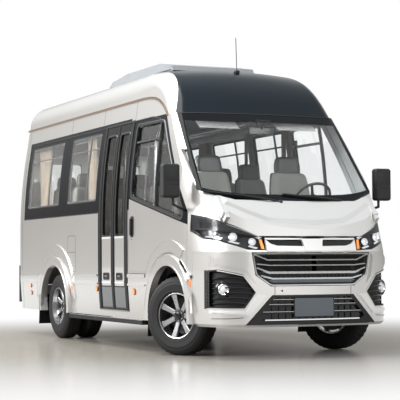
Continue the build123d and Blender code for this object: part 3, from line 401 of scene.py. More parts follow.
# ------------------------------------------------------------- mesh building
def rect(u0, v0, u1, v1):
    return [(u0, v0), (u1, v0), (u1, v1), (u0, v1)]


def mirrored(points, sign):
    return [(sign * u, v) for u, v in points]


def both(points, *middle):
    """The points, any in the middle, and the mirror image of the points on the way back."""
    return [*points, *middle, *mirrored(points[::-1], -1)]


def steps(start, step, count):
    """Evenly stepped numbers."""
    return [start + step * k for k in range(count)]


def turns(count):
    """Angles of a full turn."""
    return [2 * math.pi * k / count for k in range(count)]


def arc(centre, radius, start, end, count):
    """Points on an arc, angles in degrees."""
    angles = [math.radians(start + (end - start) * i / count) for i in range(count + 1)]
    return [(centre[0] + radius * math.cos(a), centre[1] + radius * math.sin(a)) for a in angles]


def finer(path, step=0.04):
    """The same path with no stretch longer than the step."""
    points = [path[0]]
    for (u0, v0), (u1, v1) in zip(path, path[1:]):
        parts = max(1, math.ceil(math.hypot(u1 - u0, v1 - v0) / step))
        points += [(u0 + (u1 - u0) * k / parts, v0 + (v1 - v0) * k / parts) for k in range(1, parts + 1)]
    return points


def rounded(points, radius, count=5):
    """Outline with its corners rounded."""
    result = []
    most = 0.45
    for i, p in enumerate(points):
        p = Vector(p).to_2d()
        a = Vector(points[i - 1]).to_2d() - p
        b = Vector(points[(i + 1) % len(points)]).to_2d() - p
        r = min(radius, a.length * most, b.length * most)
        start, end = p + a.normalized() * r, p + b.normalized() * r
        for t in (k / count for k in range(count + 1)):
            q = start * (1 - t) ** 2 + p * 2 * t * (1 - t) + end * t * t
            result.append((q.x, q.y))
    return result


def grown(points, amount):
    """Closed outline moved out by an amount along its corner normals."""
    area = sum(a[0] * b[1] - b[0] * a[1] for a, b in zip(points, points[1:] + points[:1]))
    turn = 1 if area > 0 else -1
    result = []
    for i, p in enumerate(points):
        a, b = points[i - 1], points[(i + 1) % len(points)]
        before = Vector((p[1] - a[1], a[0] - p[0])).normalized()
        after = Vector((b[1] - p[1], p[0] - b[0])).normalized()
        out = before + after
        sharpest = 0.35
        out = out.normalized() / max(sharpest, out.normalized().dot(before)) if out.length > 1e-6 else before
        result.append((p[0] + out.x * amount * turn, p[1] + out.y * amount * turn))
    return result


def spin(degrees, axis):
    return Matrix.Rotation(math.radians(degrees), 4, axis)


def bridge(bm, rings, closed=False, caps=False):
    """Faces between neighbouring rings of vertices; closed joins the last ring to the first."""
    for a, b in [*zip(rings, rings[1:]), *([(rings[-1], rings[0])] if closed else [])]:
        for k in range(len(a)):
            bm.faces.new((a[k], a[(k + 1) % len(a)], b[(k + 1) % len(a)], b[k]))
    if caps:
        bm.faces.new(rings[0])
        bm.faces.new(rings[-1][::-1])


def cloth_grid(bm, rows):
    """Open sheet of faces between rows of points."""
    grid = [[bm.verts.new(p) for p in row] for row in rows]
    for a, b in zip(grid, grid[1:]):
        for k in range(len(a) - 1):
            bm.faces.new((a[k], a[k + 1], b[k + 1], b[k]))


def link(name, data):
    obj = bpy.data.objects.new(name, data)
    bpy.context.scene.collection.objects.link(obj)
    return obj


class Piece:
    """One joined mesh that rides on a body, with a material by face and the surface that it lies on."""

    def __init__(self, name, body, slot, smooth, place=None):
        self.name, self.body, self.slot, self.smooth, self.place = name, body, slot, smooth, place
        self.bm = bmesh.new()
        self.keys = []

    def take(self, other, key, matrix=Matrix()):
        """Add another bmesh, moved by a matrix, in one material."""
        bmesh.ops.transform(other, matrix=matrix, verts=other.verts)
        if key not in self.keys:
            self.keys.append(key)
        for face in other.faces:
            face.material_index = self.keys.index(key)
        bmesh.ops.recalc_face_normals(other, faces=other.faces)
        mesh = bpy.data.meshes.new("part")
        other.to_mesh(mesh)
        other.free()
        self.bm.from_mesh(mesh)
        bpy.data.meshes.remove(mesh)

    def box(self, key, centre, size, bevel=0.004, matrix=Matrix(), segments=2):
        bm = bmesh.new()
        bmesh.ops.create_cube(bm, size=1)
        bmesh.ops.transform(bm, matrix=Matrix.Diagonal((*size, 1)), verts=bm.verts)
        bevel = min(bevel, min(size) * 0.45)
        bmesh.ops.bevel(bm, geom=list(bm.edges), offset=bevel, segments=segments, affect="EDGES", profile=0.6)
        self.take(bm, key, Matrix.Translation(centre) @ matrix)

    def plate(self, key, outline, top, bottom, step=0.05, holes=(), place=None):
        """Curved plate: outline (u, v) laid on a surface between two depths."""
        place = place or self.place
        bm = bmesh.new()
        edges = []
        for ring in (outline, *holes):
            verts = [bm.verts.new((u, v, 0)) for u, v in ring]
            edges += [bm.edges.new(pair) for pair in zip(verts, verts[1:] + verts[:1])]
        if holes:
            bmesh.ops.triangle_fill(bm, edges=edges, use_beauty=True)
        else:
            bm.faces.new(list(bm.verts))
        for axis in (0, 1):
            values = [p[axis] for p in outline]
            low, high = min(values), max(values)
            count = max(1, math.ceil((high - low) / step))
            for i in range(1, count):
                co, no = [0, 0, 0], [0, 0, 0]
                co[axis], no[axis] = low + (high - low) * i / count, 1
                geom = [*bm.verts, *bm.edges, *bm.faces]
                bmesh.ops.bisect_plane(bm, geom=geom, dist=1e-6, plane_co=co, plane_no=no)
        bm.verts.index_update()
        solid = bmesh.new()
        ups = [solid.verts.new(place(v.co.x, v.co.y, top)) for v in bm.verts]
        downs = [solid.verts.new(place(v.co.x, v.co.y, bottom)) for v in bm.verts]
        for face in bm.faces:
            ring = [v.index for v in face.verts]
            solid.faces.new([ups[k] for k in ring])
            solid.faces.new([downs[k] for k in reversed(ring)])
        for edge in bm.edges:
            if len(edge.link_faces) == 1:
                a, b = [v.index for v in edge.verts]
                solid.faces.new([ups[a], ups[b], downs[b], downs[a]])
        bm.free()
        self.take(solid, key)

    def strip(self, key, path, width, top, bottom, place=None):
        """Narrow curved plate along a path of (u, v) points."""
        place = place or self.place
        path = finer(path)
        bm = bmesh.new()
        rows = []
        for i, (u, v) in enumerate(path):
            a, b = path[max(i - 1, 0)], path[min(i + 1, len(path) - 1)]
            du, dv = b[0] - a[0], b[1] - a[1]
            half = width / 2 / math.hypot(du, dv)
            left, right = (u - dv * half, v + du * half), (u + dv * half, v - du * half)
            spots = ((left, bottom), (left, top), (right, top), (right, bottom))
            rows.append([bm.verts.new(place(*at, depth)) for at, depth in spots])
        bridge(bm, rows, caps=True)
        self.take(bm, key)

    def tube(self, key, points, radius, sides=10, closed=False):
        """Round bar along points; the radius may be a function of the share of the way."""
        bm = bmesh.new()
        points = [Vector(p) for p in points]
        rings = []
        last = len(points) - 1
        normal = None
        for i, p in enumerate(points):
            if closed:
                along = points[(i + 1) % len(points)] - points[i - 1]
            else:
                along = points[min(i + 1, last)] - points[max(i - 1, 0)]
            along.normalize()
            if normal is None:
                normal = along.orthogonal().normalized()
            normal = (normal - along * normal.dot(along)).normalized()
            other = along.cross(normal)
            r = radius(i / last) if callable(radius) else radius
            rings.append([bm.verts.new(p + (normal * math.cos(t) + other * math.sin(t)) * r)
                          for t in turns(sides)])
        bridge(bm, rings, closed, caps=not closed)
        self.take(bm, key)

    def lathe(self, key, profile, matrix, segments=48, closed=True):
        """Turned shape: profile of (radius, height) about the matrix's Z."""
        bm = bmesh.new()
        bridge(bm, [[bm.verts.new((r * math.cos(t), r * math.sin(t), h)) for t in turns(segments)]
                    for r, h in profile], closed)
        bmesh.ops.remove_doubles(bm, verts=bm.verts, dist=1e-5)
        self.take(bm, key, matrix)

    def knob(self, key, profile, matrix, segments=48):
        """Turned shape whose profile starts and ends on the axis."""
        self.lathe(key, profile, matrix, segments, closed=False)

    def done(self, *replaced):
        mesh = bpy.data.meshes.new(self.name)
        self.bm.to_mesh(mesh)
        self.bm.free()
        for key in self.keys:
            mesh.materials.append(M[key])
        obj = link(self.name, mesh)
        mesh.polygons.foreach_set("use_smooth", [True] * len(mesh.polygons))
        mesh.set_sharp_from_angle(angle=math.radians(self.smooth))
        if replaced:
            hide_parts(*replaced)
        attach(obj, self.body)
        return obj


# ------------------------------------------------------------ CAD finishes
DRESSED = {
    "wall_right": ["side_wall_right"],
    "wall_left": ["side_wall_left"],
    "roof": ["roof_panel", "rear_frame", "bonnet", "front_bumper"],
    "cap": ["front_cap"],
    "door": ["front_door_right", "front_door_left"],
    "silver": ["rear_door_right", "rear_door_left"],
    "leaf": ["entrance_leaf_front", "entrance_leaf_rear"],
    "screen": ["windscreen"],
    "side_glass": ["side_glass"],
    "door_glass": ["front_door_glass_right", "front_door_glass_left"],
    "leaf_glass": ["entrance_glass_front", "entrance_glass_rear"],
    "rear_glass": ["rear_glass_right", "rear_glass_left"],
    "red": ["tail_lamps"],
    "plastic": ["rear_bumper", "dashboard", "mirror_right", "mirror_left", "side_steps", "antenna"],
    "steel": ["chassis_frame", "cross_members", "front_axle", "knuckle_right", "knuckle_left", "fuel_tank"],
    "cast": ["rear_axle", "engine"],
    "floor": ["floor_pan"],
    "plastic_grey": ["luggage_racks"],
    "unit_grey": ["air_conditioner"],
}
for key, names in DRESSED.items():
    for name in names:
        NODES[name].data.materials.clear()
        NODES[name].data.materials.append(M[key])

# ------------------------------------------------------------------- wheels
AXLE_FRONT, AXLE_REAR, AXLE_Z, TYRE_R, TYRE_W, BEAD_R = 2.02, -1.52, 0.3835, 0.3835, 0.212, 0.222
KINGPIN_Y, FACE_Y, REAR_FACE_Y, STEER, TWIN_STEP = 0.793, 0.993, 0.973, math.radians(28), 0.262
TREAD_STEPS, GROOVE_R, LUG_DEPTH, SIPE_DEPTH = 120, 0.374, 0.0062, 0.004


def wheel_frame(x, sign, face_y, turn):
    """Frame on a wheel's outer face, Z outward."""
    out = Vector((-sign * math.sin(turn), sign * math.cos(turn), 0))
    up = Vector((0, 0, 1))
    m = Matrix((up, out.cross(up), out)).transposed().to_4x4()
    m.translation = Vector((x, sign * KINGPIN_Y, AXLE_Z)) + out * (face_y - KINGPIN_Y)
    return m


def tread_depth(r, h, k):
    """How far the tread is cut in at a radius, a height over the wheel's face and a step round it."""
    crown = r >= TYRE_R - 1e-6
    shoulder = h > -0.056 or h < 0.056 - TYRE_W
    if 0.36 < r < 0.382 or (crown and shoulder):
        return 0.0 if k % 3 else LUG_DEPTH
    return SIPE_DEPTH if crown and (k + (h < -0.1)) % 4 == 0 else 0.0


def add_tyre(piece, matrix, depth):
    """Tyre with rim protector, side ribs, tread grooves and shoulder blocks."""
    wall = [(BEAD_R, -0.022), (0.229, -0.013), (0.236, -0.0055), (0.244, -0.0035), (0.2465, -0.0062),
            (0.262, -0.0052), (0.283, -0.0015), (0.307, 0.0), (0.3085, -0.0014), (0.33, -0.0035),
            (0.3315, -0.0018), (0.343, -0.0055), (0.356, -0.0125), (0.368, -0.0195), (0.3765, -0.0265),
            (0.3815, -0.034)]
    ribs = [(TYRE_R, -0.046), (TYRE_R, -0.055), (GROOVE_R, -0.057), (GROOVE_R, -0.064), (TYRE_R, -0.066),
            (TYRE_R, -0.0905), (GROOVE_R, -0.0925), (GROOVE_R, -0.0995), (TYRE_R, -0.1015), (TYRE_R, -0.106)]
    profile = wall + ribs
    profile += [(r, -TYRE_W - h) for r, h in reversed(profile[:-1])]
    bm = bmesh.new()
    rings = []
    for r, h in profile:
        ring = []
        for k in range(TREAD_STEPS):
            low = r - tread_depth(r, h, k)
            t = 2 * math.pi * (k + (0.35 if r > 0.37 else 0) * math.sin(h * 60)) / TREAD_STEPS
            ring.append(bm.verts.new((low * math.cos(t), low * math.sin(t), h - depth)))
        rings.append(ring)
    bridge(bm, rings, closed=True)
    piece.take(bm, "tyre", matrix)


def add_spoke(piece, matrix, dish):
    """Broad spoke with bevelled edges, wider and thinner toward the rim."""
    # radius, half width, and the depths of the front and the back below the dish
    sections = ((0.06, 0.0235, 0.01, 0.052), (0.105, 0.0235, 0.004, 0.04),
                (0.165, 0.0265, -0.006, 0.026), (0.209, 0.0325, -0.012, 0.014))
    edge_drop, edge_width = 0.004, 0.005
    bm = bmesh.new()
    rows = []
    for r, w, front, rear in sections:
        top, low = -dish - front, -dish - rear
        ring = [(-w, top - edge_drop), (edge_width - w, top), (w - edge_width, top), (w, top - edge_drop),
                (w * 0.8, low), (-w * 0.8, low)]
        rows.append([bm.verts.new((r, y, z)) for y, z in ring])
    bridge(bm, rows, caps=True)
    piece.take(bm, "alloy", matrix)


def around(radius, turn, z):
    """Shift to a spot on a circle."""
    return Matrix.Translation((radius * math.cos(turn), radius * math.sin(turn), z))


def add_rim(piece, matrix, depth, dish, face=True):
    """Rim barrel and hub; with a face also spokes, cap, nuts and valve."""
    barrel = [(BEAD_R - inset, h) for inset, h in (
        (0.0005, -0.017), (-0.001, -0.012), (0.003, -0.0095), (0.009, -0.012), (0.0105, -0.03),
        (0.016, -0.045), (0.017, -0.194), (0.0005, -0.194))]
    drum = [(0.02, -0.142), (0.178, -0.142), (0.186, -0.15), (0.186, -0.186), (0.02, -0.186)]
    hub = [(0.02, -dish - 0.012), (0.07, -dish - 0.014), (0.074, -dish - 0.02), (0.074, -0.15), (0.02, -0.15)]
    ring = [(0.034, -0.004), (0.064, -0.006), (0.068, -0.012), (0.034, -0.014)]
    cap = [(0.0, 0.012), (0.024, 0.0115), (0.031, 0.009), (0.034, 0.002), (0.034, -0.014), (0.0, -0.014)]
    nut = [(0.0, 0.017), (0.0045, 0.0165), (0.0075, 0.013), (0.0085, 0.011), (0.0085, 0.0), (0.0, 0.0)]
    valve = [(0.0, 0.03), (0.003, 0.03), (0.004, 0.01), (0.006, 0.0), (0.0, 0.0)]
    matrix = matrix @ Matrix.Translation((0, 0, -depth))
    piece.lathe("alloy", barrel, matrix, 72)
    # drum and hub in near-black alloy: painted shade behind the spokes
    piece.lathe("alloy_dark", drum, matrix, 48)
    piece.lathe("alloy_dark", hub, matrix, 40)
    if not face:
        return
    spokes, nuts, nut_circle, valve_turn = 7, 6, 0.05, math.radians(140)
    for k in range(spokes):
        add_spoke(piece, matrix @ Matrix.Rotation(2 * math.pi * (k + 0.25) / spokes, 4, "Z"), dish)
    centre = matrix @ Matrix.Translation((0, 0, -dish))
    piece.knob("black", cap, centre, 32)
    piece.lathe("alloy_dark", ring, centre, 32)
    for t in turns(nuts):
        piece.knob("chrome", nut, centre @ around(nut_circle, t, -0.01), 6)
    piece.knob("rubber", valve, matrix @ around(BEAD_R - 0.03, valve_turn, -0.05), 10)


for side, sign in SIDES.items():
    matrix = wheel_frame(AXLE_FRONT, sign, FACE_Y, STEER)
    tyre = Piece(f"tyre_front_{side}", f"front_wheel_{side}", "tyre", 40)
    add_tyre(tyre, matrix, 0)
    tyre.done(f"front_tyre_{side}")
    rim = Piece(f"rim_front_{side}", f"front_wheel_{side}", "alloy", 35)
    add_rim(rim, matrix, 0, 0.042)
    rim.done(f"front_rim_{side}")
    matrix = wheel_frame(AXLE_REAR, sign, REAR_FACE_Y, 0)
    tyres = Piece(f"tyres_rear_{side}", f"rear_wheel_{side}", "tyre", 40)
    add_tyre(tyres, matrix, 0)
    add_tyre(tyres, matrix, TWIN_STEP)
    tyres.done(f"rear_tyres_{side}")
    rims = Piece(f"rims_rear_{side}", f"rear_wheel_{side}", "alloy", 35)
    add_rim(rims, matrix, 0, 0.068)
    add_rim(rims, matrix, TWIN_STEP, 0.08, face=False)
    rims.done(f"rear_rims_{side}")

# ---------------------------------------------------------------- headlights
LAMP = [(0.478, 1.01), (0.66, 1.018), (0.945, 1.122), (0.978, 1.2), (0.978, 1.358), (0.8, 1.262),
        (0.52, 1.136)]
BROW = [(0.5, 1.126), (0.8, 1.256), (0.966, 1.338), (0.966, 1.318), (0.8, 1.236), (0.535, 1.116)]
HOOK = [(0.93, 1.3), (0.968, 1.322), (0.968, 1.262), (0.957, 1.215), (0.944, 1.215), (0.95, 1.27),
        (0.915, 1.268)]
TURN_LIGHT = [(0.503, 1.108), (0.53, 1.116), (0.52, 1.022), (0.492, 1.02)]
LENSES = ((0.882, 1.18, 0.04), (0.757, 1.131, 0.041), (0.597, 1.086, 0.037))


def facing(y, z, d):
    """Frame on the nose, its Z halfway between the skin's normal and straight ahead."""
    reach = 0.004
    across = on_nose(y + reach, z, d) - on_nose(y - reach, z, d)
    up = on_nose(y, z + reach, d) - on_nose(y, z - reach, d)
    normal = across.cross(up).normalized()
    normal = ((normal if normal.x > 0 else -normal) + Vector((1, 0, 0))).normalized()
    matrix = normal.to_track_quat("Z", "Y").to_matrix().to_4x4()
    matrix.translation = on_nose(y, z, d)
    return matrix


def add_lens(lamp, sign, y, z, r):
    """One round lens with its bright ring, its bead and the blade under it."""
    matrix = facing(sign * y, z, 0.032)
    ring = [(r * 0.72, 0.012), (r * 0.98, 0.016), (r * 1.06, 0.01), (r * 1.02, -0.02), (r * 0.7, -0.02)]
    lamp.lathe("chrome", ring, matrix, 28)
    dome = [(0.0, 0.016), (r * 0.25, 0.0155), (r * 0.48, 0.0125), (r * 0.66, 0.007), (r * 0.75, 0.0),
            (r * 0.75, -0.01), (0.0, -0.01)]
    lamp.knob("white_lens", dome, matrix, 28)
    bead = [(r * 0.2, 0.018), (r * 0.3, 0.0165), (r * 0.3, 0.01), (r * 0.2, 0.01)]
    lamp.lathe("chrome", bead, matrix, 20)
    blade = [(y - 0.045, z - 0.052), (y + 0.035, z - 0.03), (y + 0.048, z - 0.042), (y - 0.03, z - 0.066)]
    lamp.plate("chrome", mirrored(blade, sign), 0.016, 0.024, 0.04)


for side, sign in SIDES.items():
    lamp = Piece(f"headlight_{side}", "body", "lamp", 35, on_nose)
    outer = rounded(mirrored(LAMP, sign), 0.012)
    lamp.plate("plastic", outer, 0.052, 0.058, 0.03)
    lamp.plate("black", outer, 0.0015, 0.056, 0.03, [grown(outer, -0.01)])
    lamp.plate("cover", grown(outer, -0.004), 0.0005, 0.0035, 0.025)
    lamp.plate("chrome", mirrored(BROW, sign), 0.01, 0.02, 0.04)
    lamp.plate("led", mirrored(HOOK, sign), 0.014, 0.022, 0.04)
    for y, z, r in LENSES:
        add_lens(lamp, sign, y, z, r)
    lamp.plate("amber", mirrored(TURN_LIGHT, sign), 0.012, 0.022, 0.04)
    lamp.done(*(["headlights"] if side == "right" else []))

# ------------------------------------------------------------------- grilles
MOUTH = rounded(both([(0.62, 0.988), (0.587, 0.78), (0.44, 0.68)]), 0.03)
# one half of each bright bar, and half its height
BARS = (([(-0.6, 0.976)], 0.0085), ([(-0.603, 0.972), (-0.47, 0.918)], 0.0105),
        ([(-0.575, 0.882), (-0.44, 0.869)], 0.0085), ([(-0.575, 0.846), (-0.449, 0.803)], 0.0105),
        ([(-0.535, 0.775), (-0.42, 0.748)], 0.007))
TRAY = [(-0.4, 0.7), (0.4, 0.7), (0.46, 0.735), (0.4, 0.741), (-0.4, 0.741), (-0.46, 0.735)]
SLOT_LOW = [(0.474, 1.003), (0.08, 1.003), (0.08, 1.047), (0.368, 1.052), (0.43, 1.072), (0.474, 1.112)]
SLOT_HIGH = [(0.474, 1.112), (0.43, 1.108), (0.1, 1.11), (0.1, 1.122), (0.474, 1.126)]
CENTRE = rounded(both([(0.088, 1.003), (0.104, 1.09), (0.12, 1.118)]), 0.01)


def add_bar(piece, path, half_height, key, front, back):
    """Grille bar along a path, with a raised rib on it."""
    fine = []
    for a, b in zip(path, path[1:]):
        n = max(2, int(math.hypot(b[0] - a[0], b[1] - a[1]) / 0.05))
        fine += [(a[0] + (b[0] - a[0]) * k / n, a[1] + (b[1] - a[1]) * k / n) for k in range(n)]
    fine.append(path[-1])
    rib = [(u, v + half_height * 0.2) for u, v in fine]
    piece.strip(key, fine, 2 * half_height, front, back)
    piece.strip(key, rib, half_height * 1.1, front - 0.006, front + 0.002)


grille = Piece("main_grille", "body", "black_paint", 35, on_nose)
grille.plate("black", MOUTH, 0.03, 0.046, 0.06)
grille.plate("chrome", grown(MOUTH, -0.0025), -0.004, 0.03, 0.05, [grown(MOUTH, -0.012)])
grille.plate("black", grown(MOUTH, -0.012), 0.004, 0.03, 0.05, [grown(MOUTH, -0.03)])
for half, half_height in BARS:
    add_bar(grille, both(half), half_height, "chrome", 0.008, 0.028)
for y in steps(-0.546, 0.042, 27):
    grille.strip("plastic", [(y, 0.7 if abs(y) < 0.41 else 0.8), (y, 0.965)], 0.006, 0.02, 0.031)
for z in steps(0.705, 0.0245, 11):
    reach = 0.43 if z < 0.76 else 0.56
    add_bar(grille, [(-reach, z), (reach, z)], 0.003, "plastic", 0.022, 0.031)
grille.plate("plate", TRAY, 0.012, 0.03, 0.06)
# panel between grille and bonnet: bright with two black slots and a plain centre piece
grille.plate("black", rect(-0.474, 1.003, 0.474, 1.128), 0.026, 0.04, 0.06)
for sign in (-1, 1):
    grille.plate("bright", mirrored(SLOT_LOW, sign), 0.001, 0.03, 0.05)
    grille.plate("bright", mirrored(SLOT_HIGH, sign), 0.004, 0.03, 0.05)
grille.plate("bright", CENTRE, -0.006, 0.03, 0.04)
grille.plate("plastic", rect(-0.035, 0.745, 0.035, 0.98), 0.024, 0.032, 0.06)
grille.done("grille")

LOW_MOUTH = rounded(both([(0.428, 0.594), (0.688, 0.32)]), 0.02)
LOW_OPENING = rounded(both([(0.395, 0.578), (0.56, 0.395), (0.5, 0.352)]), 0.02)
PLATE_X = 3.142


def on_plate(y, z, d=0.0):
    """Upright plane of the number plate's carrier."""
    return Vector((PLATE_X - d, y, z))


lower = Piece("lower_grille_trim", "body", "black_plastic", 35, on_nose)
lower.plate("black", LOW_MOUTH, 0.034, 0.046, 0.06)
lower.plate("plastic", grown(LOW_MOUTH, -0.002), 0.002, 0.036, 0.05, [LOW_OPENING])
for z, reach in ((0.546, 0.428), (0.501, 0.478), (0.433, 0.54)):
    for low, high in ((-reach, -0.2), (0.2, reach)):
        add_bar(lower, [(low, z), (high, z)], 0.01, "plastic", 0.01, 0.036)
        add_bar(lower, [(low, z + 0.008), (high, z + 0.008)], 0.0022, "chrome", 0.009, 0.012)
add_bar(lower, [(-0.5, 0.366), (0.5, 0.366)], 0.006, "chrome", 0.004, 0.02)
for y in steps(-0.42, 0.07, 13):
    lower.strip("plastic", [(y, 0.36), (y, 0.575)], 0.007, 0.024, 0.036)
lower.plate("plastic", rounded(rect(-0.212, 0.39, 0.212, 0.57), 0.014), 0.0, 0.034, 0.3, place=on_plate)
lower.plate("plate", rounded(rect(-0.204, 0.396, 0.204, 0.564), 0.014), -0.003, 0.001, 0.3, place=on_plate)
lower.done("lower_grille")

# ----------------------------------------------------- bumper, bonnet, fog lamps
BUMPER_TOP = [(0.476, 0.996), (0.995, 0.996), (0.985, 1.12), (0.945, 1.124), (0.8, 1.068), (0.66, 1.016),
              (0.478, 1.006)]
CHEEK = [(0.64, 0.985), (0.93, 0.965), (0.93, 0.862), (0.7, 0.815), (0.588, 0.7), (0.612, 0.79)]
DIAGONAL = [(0.48, 0.592), (0.575, 0.606), (0.685, 0.458), (0.93, 0.458), (0.93, 0.425), (0.655, 0.405)]
# key, path, width, top and bottom of the seams and bright lines
BUMPER_LINES = (("rubber", [(0.402, 0.6), (0.402, 0.676)], 0.005, -0.0008, 0.002),
                ("rubber", [(0.945, 0.47), (0.945, 0.64), (0.945, 0.828)], 0.006, -0.003, 0.004),
                ("bright", [(0.58, 0.618), (0.7, 0.776), (0.89, 0.824)], 0.008, -0.005, 0.003),
                ("rubber", [(0.705, 0.392), (0.8, 0.384), (0.92, 0.38)], 0.005, -0.0045, 0.003))


def raised(piece, points, key, height, slope):
    """Low plateau on the nose with sloping edges."""
    for k in range(4):
        piece.plate(key, grown(points, -slope * k / 3), -height * (k + 1) / 4, 0.004, 0.05)


relief = Piece("bumper_relief", "body", "silver_paint", 25, on_nose)
for sign in (-1, 1):
    relief.plate("roof", mirrored(BUMPER_TOP, sign), 0.001, 0.03, 0.03)
    raised(relief, mirrored(CHEEK, sign), "roof", 0.015, 0.024)
    raised(relief, mirrored(DIAGONAL, sign), "bright", 0.012, 0.013)
    for key, path, width, top, bottom in BUMPER_LINES:
        relief.strip(key, mirrored(path, sign), width, top, bottom)
relief.strip("bright", [(y, 0.672) for y in steps(-0.4, 0.04, 21)], 0.008, -0.004, 0.003)
relief.done()

# The bonnet's profile is the circle through three points (x, z).
BONNET = [Vector(p) for p in ((3.128, 1.143), (2.9, 1.395), (2.56, 1.64))]


def circle_through(a, b, c):
    """Centre and radius of the circle through three points."""
    double = 2 * (a.x * (b.y - c.y) + b.x * (c.y - a.y) + c.x * (a.y - b.y))
    aa, bb, cc = (p.length_squared for p in (a, b, c))
    centre = Vector((aa * (b.y - c.y) + bb * (c.y - a.y) + cc * (a.y - b.y),
                     aa * (c.x - b.x) + bb * (a.x - c.x) + cc * (b.x - a.x))) / double
    return centre, (a - centre).length


BONNET_CENTRE, BONNET_R = circle_through(*BONNET)
BONNET_SIDE = -1 if BONNET_CENTRE.y > BONNET[1].y else 1


def bonnet_z(x):
    """Height of the bonnet's arc at x."""
    return BONNET_CENTRE.y + BONNET_SIDE * circle(BONNET_R, x - BONNET_CENTRE.x)


def bonnet_x(z):
    """X where the bonnet's arc is at height z, found by halving."""
    low, high = 2.45, 3.13
    for _ in range(40):
        middle = (low + high) / 2
        low, high = (middle, high) if bonnet_z(middle) > z else (low, middle)
    return (low + high) / 2


def on_bonnet(y, x, d=0.0):
    """Place on the bonnet's arc, by Y and X."""
    reach = 0.002
    slope = (bonnet_z(x + reach) - bonnet_z(x - reach)) / (2 * reach)
    return Vector((x, y, bonnet_z(x))) - Vector((-slope, 0, 1)).normalized() * d


# raised middle panel; its front edge makes the crease
CREASE = both([(-0.785, 2.835), (-0.6, 2.935), (-0.395, 3.02)], (0.07, 3.04))
PANEL_REAR = both([(0.77, 2.745), (0.64, 2.79)], (0.0, 2.8))
hood = Piece("bonnet_panel", "body", "silver_paint", 25, on_bonnet)
for k in range(4):
    hood.plate("silver", grown(CREASE + PANEL_REAR, -0.01 * k), -0.0022 * (k + 1), 0.003, 0.05)
# fillers of the gap beside the bonnet
for sign in (-1, 1):
    hood.strip("silver", mirrored([(0.79, 2.737), (0.804, 2.935)], sign), 0.058, -0.0012, 0.075)
    hood.strip("silver", mirrored([(0.796, 2.925), (0.8, 2.975)], sign), 0.04, 0.005, 0.075)
hood.done()

FOG_TRAY = [(0.936, 0.825), (0.89, 0.833), (0.702, 0.785), (0.583, 0.628), (0.691, 0.479), (0.936, 0.479)]
FOG_SHELL = [(0.046, 0.012), (0.066, 0.016), (0.078, 0.008), (0.08, -0.012), (0.046, -0.012)]
FOG_RING = [(0.04, 0.014), (0.047, 0.019), (0.052, 0.014), (0.05, 0.0), (0.04, 0.0)]
FOG_LENS = [(0.0, 0.022), (0.014, 0.021), (0.028, 0.017), (0.04, 0.009), (0.041, -0.008), (0.0, -0.008)]
fog = Piece("fog_lamp_trays", "body", "lamp", 35, on_nose)
for sign in (-1, 1):
    edge = rounded(mirrored(FOG_TRAY, sign), 0.018)
    fog.plate("plastic", edge, 0.038, 0.046, 0.03)
    fog.plate("plastic", edge, 0.003, 0.04, 0.03, [grown(edge, -0.01)])
    for z in steps(0.52, 0.046, 6):
        y_in, y_out = 0.6 + abs(z - 0.63) * 0.62, 0.905
        path = [(y_in + (y_out - y_in) * t / 8, z + 0.012 * math.sin(math.pi * t / 8)) for t in range(9)]
        fog.strip("black", mirrored(path, sign), 0.012, 0.018, 0.039)
    matrix = facing(sign * 0.838, 0.65, 0.03)
    fog.lathe("black", FOG_SHELL, matrix, 36)
    fog.lathe("chrome", FOG_RING, matrix, 36)
    fog.knob("white_lens", FOG_LENS, matrix, 32)
fog.done("fog_lamps")

# -------------------------------------------------------------- body mouldings
RAIL_LOW, RAIL_HIGH = (0.672, 0.026), (0.765, 0.04)
REAR_END, ARCH_REACH = -2.9, 0.6
# where the belt mouldings stop short of the front arch, and the short run ahead of it
FRONT_STOP, FRONT_RUN = AXLE_FRONT - 0.63, (2.475, 2.555)
REAR_RUN, MID_START = (REAR_END, AXLE_REAR - ARCH_REACH), AXLE_REAR + ARCH_REACH
BELT_RUNS = {"right": [REAR_RUN, (MID_START, -0.03), FRONT_RUN, (0.905, FRONT_STOP)],
             "left": [REAR_RUN, (MID_START, FRONT_STOP), FRONT_RUN]}
SWELL_R = 0.735
GUTTER = [(x, 2.612) for x in steps(-3.0, 0.25, 17)] + [
    (1.1, 2.61), (1.25, 2.603), (1.4, 2.583), (1.52, 2.548), (1.64, 2.492), (1.72, 2.44), (1.8, 2.372)]
PANES = {"right": [(-2.64, -1.4), (-1.085, -0.09)], "left": [(-2.64, -1.4), (-1.085, -0.09), (0.06, 0.87)]}
# x, z, width and height; the next one's place differs by side
MARKERS = ((-2.5, 0.619, 0.035, 0.04), (-2.5, 0.529, 0.05, 0.045), (-0.89, 0.612, 0.055, 0.05))
MARKER_X = {"right": -0.05, "left": 0.3}


def add_belt(side, sign, place):
    """Mouldings along the belt, the bulge over the rear arch and the rolled lips of both arches' flares."""
    trim = Piece(f"belt_mouldings_{side}", "body", "silver_paint", 35, place)
    for low, high in BELT_RUNS[side]:
        n = max(2, int((high - low) / 0.3))
        for z, width in (RAIL_HIGH, RAIL_LOW)[:1 if low > AXLE_FRONT else 2]:
            path = [(low + (high - low) * k / n, z) for k in range(n + 1)]
            trim.strip("silver", path, width, -0.007, 0.004)
            trim.strip("silver", path, width * 0.5, -0.01, 0.002)
    on_flare = on_flat(sign, 1.026)
    for x, lip_end in ((AXLE_FRONT, 176), (AXLE_REAR, 180)):
        centre = (x, AXLE_Z)
        trim.strip("silver", arc(centre, 0.496, 4, lip_end, 40), 0.016, -0.003, 0.03, on_flare)
        trim.strip("silver", arc(centre, 0.586, 4, lip_end, 40), 0.01, -0.002, 0.02, on_flare)
    swell = arc(centre, SWELL_R, 8, 172, 28) + arc(centre, 0.622, 166, 14, 28)
    trim.plate("roof", swell, -0.01, 0.003, 0.06)
    trim.strip("silver", arc(centre, SWELL_R, 8, 172, 36), 0.012, -0.0125, 0.0)
    trim.done()


